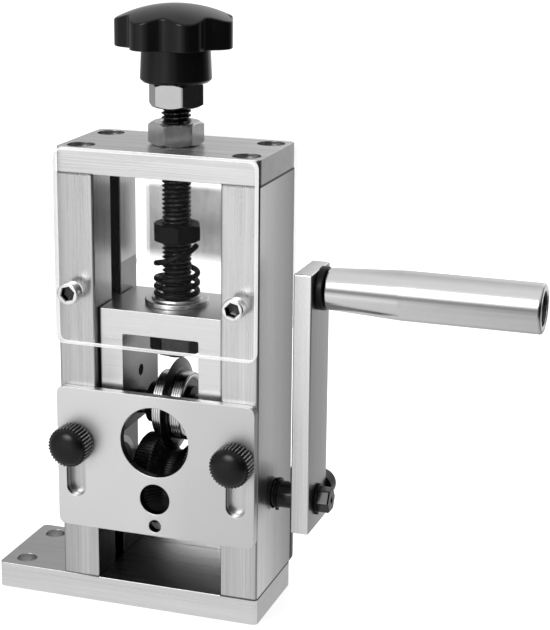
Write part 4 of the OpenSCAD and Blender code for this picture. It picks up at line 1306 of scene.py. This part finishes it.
class STRIPPER_OT_thumb_screws(StripperOperator, bpy.types.Operator):
    """Make the knurled thumb screws"""

    bl_idname = "stripper.thumb_screws"
    bl_label = "Thumb screws"

    def build(self, scene):
        head_r = 7 * MM
        head_l = 9 * MM
        dome = 2.4 * MM
        dome_z = head_l - dome
        face_r = head_r - 0.9 * MM
        ribs_r = head_r - 0.25 * MM
        shank_r = 2.95 * MM
        steps = 12
        black = black_oxide("black_thumb_screws", gloss=0.2, mirror=0.3, ribs=(
            settings().thumb_ribs, middle("right_thumb_screw", X), middle("right_thumb_screw", Z), ribs_r))
        knurl = knurl_recipe()
        for node in ("left_thumb_screw", "right_thumb_screw"):
            shank_l = size(node).y - head_l
            profile = rounded([(0, -shank_l), (shank_r, -shank_l), (shank_r, 0), (face_r, 0)],
                              [0, 0.4 * MM, 0.1 * MM, 0], closed=False)
            profile += [(head_r - 0.15 * MM, 0.45 * MM), (head_r, 0.75 * MM), (head_r, dome_z - 0.5 * MM),
                        (head_r - 0.2 * MM, dome_z - 0.15 * MM), (face_r, dome_z)]
            for k in range(1, steps + 1):
                spread = math.pi / 2 * k / steps
                profile.append((face_r * math.cos(spread), dome_z + dome * math.sin(spread)))
            mesh = turned(profile, settings().thumb_ribs * 6)
            base = with_knurl(mesh, lambda r, z: 1.0 if r > ribs_r else 0.0)
            data = knurl.make(black, base, Ribs=settings().thumb_ribs, Depth=settings().thumb_knurl)
            place = to_front(middle(node, X), low(node).y + head_l, middle(node, Z))
            piece(node, data, [black], "black_steel", [node], place, sharp=60)


class STRIPPER_OT_pressure_screw(StripperOperator, bpy.types.Operator):
    """Make the threaded pressure screw"""

    bl_idname = "stripper.pressure_screw"
    bl_label = "Pressure screw"

    def build(self, scene):
        node = "pressure_screw"
        crest = size(node).x / 2
        depth = settings().thread_depth
        pitch = settings().thread_pitch
        length = size(node).z
        black = thread_oxide("black_thread", crest, crest - depth * 0.3)
        rows = round((length + 2 * pitch) / pitch * 8)
        data = thread_recipe().make(
            black, Around=40, Rows=rows, Crest=crest, Depth=depth, Pitch=pitch, Length=length)
        piece(node, data, [black], "black_steel", [node], upwards(z=low(node).z), sharp=75)


class STRIPPER_OT_nuts(StripperOperator, bpy.types.Operator):
    """Make the four nuts on the pressure screw"""

    bl_idname = "stripper.nuts"
    bl_label = "Nuts"

    def build(self, scene):
        # Painted light: the jam nut and the lock nut are the same zinc at two levels, the jam nut lighter and
        # the lock nut darker.
        zinc = bright_metal("zinc_nuts", level=0.66, gloss=0.16, mottle=0.1)
        lit_zinc = bright_metal("zinc_jam_nut", level=0.8, gloss=0.22, mottle=0.1)
        black = black_oxide("black_nut", gloss=0.22, mirror=0.1)
        dark = black_oxide("dark_nut", gloss=0.3, level=20.0, shine=0.9)
        bore = size("pressure_screw").x / 2 - 0.2 * MM
        for node, flats, turn, material, slot in (
                ("jam_nut", 16, 24.7, lit_zinc, "bright_zinc"),
                ("lock_nut", 16, 4.4, zinc, "bright_zinc"),
                ("spring_stop_nut", 15, 54, black, "black_steel"),
                ("carrier_nut", 16, 17, dark, "dark_steel")):
            mesh = nut(flats * MM, size(node).z, bore, turn)
            piece(node, mesh, [material], slot, [node], upwards(z=low(node).z), sharp=25)


class STRIPPER_OT_star_knob(StripperOperator, bpy.types.Operator):
    """Make the lobed knob"""

    bl_idname = "stripper.star_knob"
    bl_label = "Star knob"

    def build(self, scene):
        plastic = moulded("glossy_knob", tuple(finishes().knob), 0.15, mirror=0.32)
        node = "star_knob"
        lobes = settings().knob_lobes
        reach = 19.8 * MM
        lobe_r = 5.4 * MM
        hollow_r = 5 * MM
        hollow_depth = 3.4 * MM
        lobe_at = reach - lobe_r
        hollow_at = reach - hollow_depth + hollow_r
        body = reach - hollow_depth / 2
        first = math.radians(200)

        def rim_of(centre, radius, off, way, missed):
            """Where a ray from the hub leaves a circle, or enters it where the way is -1."""
            side = centre * math.sin(off)
            if abs(side) >= radius:
                return missed
            return centre * math.cos(off) + way * math.sqrt(radius ** 2 - side ** 2)

        def exact(angle):
            step = TURN / lobes
            off = (angle - first + step / 2) % step - step / 2
            hollow = rim_of(hollow_at, hollow_r, step / 2 - abs(off), -1, body)
            return max(rim_of(lobe_at, lobe_r, off, 1, 0), min(body, hollow))

        def outline(angle):
            """The exact outline averaged over a small spread, which softens its corners."""
            spread = math.radians(1.4)
            return sum(exact(angle + spread * k) for k in range(-3, 4)) / 7

        rim_z = 11.4 * MM
        top = size(node).z
        dome_z = rim_z + 8.7 * MM
        dome_r = (reach ** 2 + (top - dome_z) ** 2) / (2 * (top - dome_z))
        soft = 0.55 * MM

        def dome(radius):
            return top - dome_r + math.sqrt(dome_r ** 2 - radius ** 2)

        def rim(share):
            """Radius and height of the soft edge between the wall and the dome, from 0 to 1."""
            angle_in = math.pi / 2 * share
            inwards = soft * (1 - math.cos(angle_in))
            below = soft * (1 - math.sin(angle_in))
            return (lambda a: outline(a) - inwards), (lambda a: dome(outline(a) - inwards) - below)

        def on_dome(share):
            return (lambda a: (outline(a) - soft) * share), (lambda a: dome((outline(a) - soft) * share))

        bore_r = 4.92 * MM
        bore_depth = 16 * MM
        hub = rounded([(bore_r, 0), (10.7 * MM, 0), (11.7 * MM, 1 * MM), (11.2 * MM, rim_z)],
                      [0.3 * MM, 0.5 * MM, 0.6 * MM, 0], closed=False)
        profile = [(0, bore_depth), (bore_r, bore_depth)] + hub
        profile += [(lambda a: outline(a) - 0.5 * MM, rim_z),
                    (lambda a: outline(a) - 0.15 * MM, rim_z + 0.15 * MM), (outline, rim_z + 0.5 * MM)]
        profile += [rim(k / 5) for k in range(6)]
        profile += [on_dome(1 - k / 16) for k in range(1, 16)]
        profile.append((0, top))
        piece(node, turned(profile, 336), [plastic], "knob_plastic", [node], upwards(z=low(node).z),
              sharp=40)


class STRIPPER_OT_carrier(StripperOperator, bpy.types.Operator):
    """Make the blade carrier, its axle and the washer on it"""

    bl_idname = "stripper.carrier"
    bl_label = "Blade carrier"

    def build(self, scene):
        node = "blade_carrier"
        bridge_thick = 8.3
        window_x = 13.3
        window_z = high(node).z / MM - bridge_thick

        def shading(x, y, z):
            """Painted shade inside the window, darker downwards, and on the lower part of the left leg."""
            within = abs(x).ramp(window_x + 0.15, window_x + 0.02) * z.ramp(window_z + 0.1, window_z)
            leg = 1 - 0.22 * x.ramp(-12, -18) * z.ramp(96, 80)
            return leg * (1 - within * (0.6 + 0.36 * z.ramp(84, 70)))

        milled = aluminium("milled_carrier", along=X, level=1.12, gloss=0.32, streaks=0.08, shading=shading)
        half = (size("blade_axle").x + 0.2 * MM) / 2
        deep = size(node).y
        leg = 8.2 * MM
        inside = half - leg
        bridge_z = high(node).z - bridge_thick * MM - low(node).z
        key_half = 3.5 * MM
        edge = settings().edge
        reach = high(node).x
        points = [(-half, -deep / 2), (half, -deep / 2), (half, -key_half), (reach, -key_half),
                  (reach, key_half), (half, key_half), (half, deep / 2), (-half, deep / 2),
                  (-half, key_half), (-reach, key_half), (-reach, -key_half), (-half, -key_half)]
        radii = [0.6 * MM, 0.6 * MM, 0.1 * MM, edge, edge, 0.1 * MM] * 2
        mesh = slab(rounded(points, radii, 3), [], size(node).z, edge)
        moved(mesh, upwards(z=low(node).z))
        opening = rounded(rectangle(2 * inside, 2 * bridge_z), 0.8 * MM, 4)
        over = 1 * MM
        mouth = [(-edge, -over), (-edge, 0), (-edge / 3, edge / 3), (0, edge), (0, deep - edge),
                 (-edge / 3, deep - edge / 3), (-edge, deep), (-edge, deep + over)]
        channel = moved(plug(opening, mouth), to_front(0, deep / 2, low(node).z))
        axle_z = middle("blade_axle", Z)
        through = 60 * MM
        start = -through / 2
        above_axle = 10.8 * MM
        leg_hole = moved(drill(2 * MM, through, 48), to_right(start, 0, axle_z + above_axle))
        axle_hole = moved(drill(ROD_BORE, through, 64), to_right(start, 0, axle_z))
        rod_hole = moved(drill(5 * MM, through, 64), upwards(z=low(node).z + bridge_z - 20 * MM))
        piece(node, mesh, [milled, milled], "plate_aluminium", [node],
              cutters=[channel, leg_hole, axle_hole, rod_hole])

        node = "spring_washer"
        zinc = bright_metal("zinc_washer", gloss=0.3, mottle=0.14)
        wide = size(node).x / 2
        thick = size(node).z
        bore_r = 5 * MM
        rim_z = thick - 0.6 * MM
        outline = rounded([(bore_r, 0), (wide, 0), (wide, rim_z), (8.5 * MM, rim_z), (8.3 * MM, thick),
                           (bore_r, thick)], [0.2 * MM, 0.5 * MM, 0.5 * MM, 0.1 * MM, 0.15 * MM, 0.2 * MM])
        mesh = turned(outline, 120, closed=True)
        piece(node, mesh, [zinc], "bright_zinc", [node], upwards(z=low(node).z))

        node = "blade_axle"
        bright = turned_metal("bright_axle", 0.9, 0.2, (0, axle_z))
        end = size(node).x / 2
        groove = high("right_feed_ring").x
        groove_r = 4.1 * MM
        groove_end = groove + 0.85 * MM
        outline = rounded([(0, -end), (ROD_R, -end), (ROD_R, groove), (groove_r, groove),
                           (groove_r, groove_end), (ROD_R, groove_end), (ROD_R, end), (0, end)],
                          [0, 0.4 * MM, 0, 0, 0, 0, 0.4 * MM, 0], closed=False)
        piece(node, turned(outline), [bright], "polished_steel", [node], to_right(0, 0, axle_z))


class STRIPPER_OT_spring(StripperOperator, bpy.types.Operator):
    """Make the compression spring"""

    bl_idname = "stripper.spring"
    bl_label = "Spring"

    def build(self, scene):
        black = black_oxide("black_spring", gloss=0.18, mirror=0.12)
        node = "spring"
        wire = 0.95 * MM
        shares = (0, 0.027, 0.139, 0.203, 0.295, 0.396, 0.581, 1)
        data = spring_recipe(shares).make(
            black, Turns=(len(shares) - 1) / 2, Start=math.pi, Radius=6.85 * MM, Wire=wire,
            Rise=size(node).z - 2 * wire)
        piece(node, data, [black], "black_steel", [node], upwards(z=low(node).z + wire), sharp=60)


class STRIPPER_OT_blade_set(StripperOperator, bpy.types.Operator):
    """Make the slitting blade with its feed bearings and collar"""

    bl_idname = "stripper.blade_set"
    bl_label = "Blade set"

    def build(self, scene):
        axle_z = middle("blade_axle", Z)
        self.blade(axle_z)
        self.feed_bearings(axle_z)
        node = "axle_collar"
        black = black_oxide("black_collar", gloss=0.3, mirror=0.15)
        mesh = ring(size(node).y / 2, ROD_BORE, size(node).x, 0.4 * MM)
        piece(node, mesh, [black], "black_steel", [node], to_right(low(node).x, 0, axle_z))

    def blade(self, axle_z):
        node = "blade_disc"
        ground = turned_metal("ground_blade", 0.12, 0.28, (0, axle_z), pitch=0.35, depth=0.003)
        half = size(node).x / 2
        reach = size(node).y / 2
        bore_r = 4.55 * MM
        bevel_r = reach - 3 * MM
        honed_r = reach - 0.4 * MM
        tip = 0.06 * MM
        outline = [(bore_r, -half), (bevel_r, -half), (honed_r, -2.2 * tip), (reach, -tip / 2),
                   (reach, tip / 2), (honed_r, 2.2 * tip), (bevel_r, half), (bore_r, half)]
        piece(node, turned(outline, 160, closed=True), [ground], "dark_steel", [node],
              to_right(0, 0, axle_z), sharp=8)

    def feed_bearings(self, axle_z):
        bright = turned_metal("bright_feed_ring", 0.75, 0.2, (0, axle_z), pitch=0.8, depth=0.02,
                              lines_tone=0.4)
        shield = turned_metal("dark_shield", 0.12, 0.3, (0, axle_z), pitch=0.5)
        race_r = 6.52 * MM
        for side, sign, facing in (("left", -1, to_left), ("right", 1, to_right)):
            outer = side + "_feed_ring"
            reach = size(outer).y / 2
            begin = min(abs(low(outer).x), abs(high(outer).x))
            mesh = ring(reach, reach - 2 * MM, size(outer).x, 0.45 * MM)
            piece(outer, mesh, [bright], "polished_steel", [outer], facing(sign * begin, 0, axle_z))

            inner = side + "_feed_inner"
            wide = size(inner).x
            reach = size(inner).y / 2
            begin = min(abs(low(inner).x), abs(high(inner).x))
            dip = wide - 0.25 * MM
            back = wide - 0.5 * MM
            outline = [(ROD_BORE, 0), (race_r, 0), (race_r, back), (reach, back), (reach, wide - 0.1 * MM),
                       (reach - 0.5 * MM, dip), (6.9 * MM, dip), (6.6 * MM, wide), (ROD_BORE, wide)]
            mesh = turned(rounded(outline, 0.1 * MM, 2), closed=True)
            piece(inner, mesh, [shield], "dark_steel", [inner], facing(sign * begin, 0, axle_z))


class STRIPPER_OT_clips(StripperOperator, bpy.types.Operator):
    """Make the spring clips of the shaft and the axle"""

    bl_idname = "stripper.clips"
    bl_label = "Spring clips"

    def build(self, scene):
        black = black_oxide("black_clips", gloss=0.28, mirror=0.12)
        bore_r = 4.15 * MM
        gap = 2.4 * MM
        for node in ("shaft_circlip", "outer_circlip", "axle_circlip"):
            outer = size(node).y / 2
            mesh = slab(clip_outline(outer, bore_r, gap), [], size(node).x, 0.12 * MM, 2)
            place = to_right(low(node).x, 0, high(node).z - outer)
            piece(node, mesh, [black, black], "black_steel", [node], place)


class STRIPPER_OT_roller(StripperOperator, bpy.types.Operator):
    """Make the knurled, grooved drive roller"""

    bl_idname = "stripper.roller"
    bl_label = "Drive roller"

    def build(self, scene):
        black = black_oxide("black_roller", gloss=0.34, wear=0.3, mirror=0.3)
        node = "drive_roller"
        half = size(node).x / 2
        reach = size(node).y / 2
        floor = reach - 4.9 * MM
        vee = 6 * MM
        vee_floor = 1.2 * MM
        chamfer = 0.5 * MM
        steps = 6
        slope = [(vee_floor + (vee - vee_floor) * k / steps, floor + (reach - floor) * k / steps)
                 for k in range(1, steps + 1)]
        land = half - chamfer
        right_half = [(vee_floor, floor)] + slope
        right_half += [(vee + 0.25 * MM, reach), ((vee + half) / 2, reach), (land - 0.1 * MM, reach),
                       (land, reach - 0.03 * MM), (half, reach - chamfer), (half, reach - 2.5 * MM),
                       (half, ROD_BORE)]
        outline = [(r, -x) for x, r in reversed(right_half)] + [(r, x) for x, r in right_half]
        mesh = turned(outline, settings().roller_ribs * 4, closed=True)

        def weight(radius, height):
            """Full on the lands, about half in the V, none at the ends and in the bore."""
            if abs(height) > land - 0.05 * MM or radius < floor - 0.1 * MM:
                return 0.0
            return 1.0 if radius > reach - 0.02 * MM else 0.55

        base = with_knurl(mesh, weight)
        data = knurl_recipe().make(black, base, Ribs=settings().roller_ribs, Depth=settings().roller_knurl)
        piece(node, data, [black], "black_steel", [node], to_right(0, 0, middle(node, Z)), sharp=60)


class STRIPPER_OT_shaft(StripperOperator, bpy.types.Operator):
    """Make the drive shaft with its hexagonal end"""

    bl_idname = "stripper.shaft"
    bl_label = "Drive shaft"

    def build(self, scene):
        black = black_oxide("black_shaft", gloss=0.16, mirror=0.45)
        node = "drive_shaft"
        start, end = low(node).x, high(node).x
        inner_clip = low("shaft_circlip").x
        outer_clip = low("outer_circlip").x
        clip = 1 * MM
        groove_r = ROD_R - 0.4 * MM
        soft = 0.06 * MM
        flats = hexagon(7.7 * MM, soft=soft)
        chamfered = hexagon(6.8 * MM, soft=soft)
        profile = [(0, start), (ROD_R - 0.5 * MM, start), (ROD_R, start + 0.5 * MM)]
        profile += [(ROD_R, inner_clip), (groove_r, inner_clip), (groove_r, inner_clip + clip),
                    (ROD_R, inner_clip + clip)]
        profile += [(ROD_R, outer_clip), (groove_r, outer_clip), (groove_r, outer_clip + clip)]
        profile += [(flats, outer_clip + clip), (flats, end - 0.45 * MM), (chamfered, end), (1.3 * MM, end),
                    (0.5 * MM, end - 0.9 * MM), (0, end - 1.1 * MM)]
        place = to_right(0, 0, middle("drive_roller", Z))
        piece(node, turned(profile), [black], "black_steel", [node], place, sharp=20)


class STRIPPER_OT_crank_arm(StripperOperator, bpy.types.Operator):
    """Make the crank arm and its clamp screw"""

    bl_idname = "stripper.crank_arm"
    bl_label = "Crank arm"

    def build(self, scene):
        node = "crank_arm"
        extent = size(node)
        face_x = high(node).x / MM

        def shading(x, y, z):
            """Painted light on the narrow face, brighter outwards, and painted shade on the broad face."""
            broad = x.ramp(face_x - 0.2, face_x) * (0.64 - 0.14 * y.ramp(-10, 8))
            return (0.88 + 0.32 * x.ramp(face_x - 6, face_x)) * (1 - broad)

        flat = aluminium("drawn_arm", along=Z, level=1.05, gloss=0.28, streaks=0.16, shading=shading)
        middle_x = middle(node, X)
        middle_z = middle(node, Z)
        shaft_z = middle("drive_roller", Z)
        handle_z = middle("handle_grip", Z)
        screw_r = 3 * MM
        holes = [circle(ROD_BORE, (0, shaft_z - middle_z), 72),
                 circle(screw_r, (0, handle_z - middle_z), 56)]
        mesh = slab(rounded(rectangle(extent.y, extent.z), 0.7 * MM, 5), holes, extent.x, 0.45 * MM)
        tapped = moved(drill(radius=2 * MM, length=12 * MM, count=40), to_rear(middle_x, 0, shaft_z))
        place = to_right(low(node).x, 0, middle_z)
        piece(node, mesh, [flat, flat], "plate_aluminium", [node], place, [tapped])

        node = "clamp_screw"
        black = black_oxide("black_clamp_screw", gloss=0.28, mirror=0.2)
        head_height = 6 * MM
        seat = high(node).y - head_height
        mesh = cap_screw(
            CRANK_HEAD, head_height, shank=4 * MM, shank_length=seat - low(node).y, edge=0.5 * MM)
        piece(node, mesh, [black], "black_steel", [node], to_rear(middle_x, seat, shaft_z))


class STRIPPER_OT_handle(StripperOperator, bpy.types.Operator):
    """Make the turned grip, its bush and its screw"""

    bl_idname = "stripper.handle"
    bl_label = "Handle"

    def build(self, scene):
        node = "handle_grip"
        handle_z = middle(node, Z)
        long = size(node).x
        small = 6.8 * MM
        large = size(node).y / 2

        def shading(up):
            """Painted reflections: darker and brighter bands by height, as the polish would mirror a table's
            edge.
            """
            share = up * (1 / large)
            band = 1 - 0.66 * share.ramp(0.5, 0.3) * share.ramp(-0.06, 0.12)
            below = (1 - 0.1 * share.ramp(-0.3, -0.5)) * (1 - 0.6 * share.ramp(-0.72, -1))
            above = (1 + 0.25 * share.ramp(0.34, 0.5)) * (1 - 0.35 * share.ramp(0.75, 1))
            return band * below * above

        polished = turned_metal("polished_grip", 1.0, 0.15, (0, handle_z), pitch=0.22, depth=0.0015,
                                shading=shading)
        taper = 25 * MM
        bore_r = 3.05 * MM
        recess_r = 5.6 * MM
        recess_x = long - 6.5 * MM
        outline = rounded([(bore_r, 0), (small, 0), (large, taper), (large, long), (recess_r, long),
                           (recess_r, recess_x), (bore_r, recess_x)],
                          [0.2 * MM, 1.0 * MM, 6 * MM, 1.0 * MM, 0.4 * MM, 0.2 * MM, 0.1 * MM], 6)
        mesh = turned(outline, 144, closed=True)
        piece(node, mesh, [polished], "polished_aluminium", [node], to_right(low(node).x, 0, handle_z))

        node = "handle_bush"
        plastic = moulded("black_bush", (0.004, 0.004, 0.0042, 1), 0.36, grain=0.1, mirror=0.25)
        mesh = ring(size(node).y / 2, 3.02 * MM, size(node).x, 0.35 * MM)
        piece(node, mesh, [plastic], "bush_plastic", [node], to_right(low(node).x, 0, handle_z))

        node = "handle_screw"
        black = black_oxide("black_handle_screw", gloss=0.36)
        head_height = 5 * MM
        seat = high(node).x - head_height
        mesh = cap_screw(
            CRANK_HEAD, head_height, shank=6 * MM, shank_length=seat - low(node).x, edge=0.4 * MM)
        piece(node, mesh, [black], "black_steel", [node], to_right(seat, 0, handle_z))


class STRIPPER_OT_bearings(StripperOperator, bpy.types.Operator):
    """Finish the shaft bearings and the balls of the feed bearings"""

    bl_idname = "stripper.bearings"
    bl_label = "Bearings"

    def build(self, scene):
        shaft_z = middle("drive_roller", Z)
        steel = turned_metal("bearing_steel", 0.35, 0.24, (0, shaft_z), pitch=0.4)
        balls = bright_metal("bearing_balls", gloss=0.1, mottle=0.02)
        seal = moulded("bearing_seal", (0.016, 0.016, 0.017, 1), 0.5, grain=0.15)
        for side in ("left", "right"):
            dress(side + "_bearing_outer", steel)
            dress(side + "_bearing_inner", steel)
            dress(side + "_bearing_seals", seal)
            dress(side + "_bearing_balls", balls)
            dress(side + "_feed_balls", balls)


OPERATORS = (
    STRIPPER_OT_stage, STRIPPER_OT_plates, STRIPPER_OT_columns, STRIPPER_OT_guards, STRIPPER_OT_guide_plate,
    STRIPPER_OT_screws, STRIPPER_OT_thumb_screws, STRIPPER_OT_pressure_screw, STRIPPER_OT_nuts,
    STRIPPER_OT_star_knob, STRIPPER_OT_carrier, STRIPPER_OT_spring, STRIPPER_OT_blade_set, STRIPPER_OT_clips,
    STRIPPER_OT_roller, STRIPPER_OT_shaft, STRIPPER_OT_crank_arm, STRIPPER_OT_handle, STRIPPER_OT_bearings)


class STRIPPER_PT_panel(bpy.types.Panel):
    """Lists the pieces of the wire stripper"""

    bl_idname = "STRIPPER_PT_panel"
    bl_label = "Wire stripper"
    bl_space_type = "VIEW_3D"
    bl_region_type = "UI"
    bl_category = "Stripper"

    def draw(self, context):
        layout = self.layout
        for group in GROUPS:
            values = getattr(context.scene, group)
            column = layout.column()
            for name in values.__annotations__:
                column.prop(values, name)
        for operator in OPERATORS:
            layout.operator(operator.bl_idname)


GROUPS = {
    "stripper_sizes": StripperSizes, "stripper_finish": StripperFinish, "stripper_stage": StripperStage}


def register():
    for group in (*GROUPS.values(), *OPERATORS, STRIPPER_PT_panel):
        bpy.utils.register_class(group)
    for name, group in GROUPS.items():
        setattr(bpy.types.Scene, name, bpy.props.PointerProperty(type=group))


def unregister():
    for name in GROUPS:
        delattr(bpy.types.Scene, name)
    for group in reversed((*GROUPS.values(), *OPERATORS, STRIPPER_PT_panel)):
        bpy.utils.unregister_class(group)


def main():
    register()
    for operator in OPERATORS:
        group, name = operator.bl_idname.split(".")
        getattr(getattr(bpy.ops, group), name)()


if __name__ == "__main__":
    main()
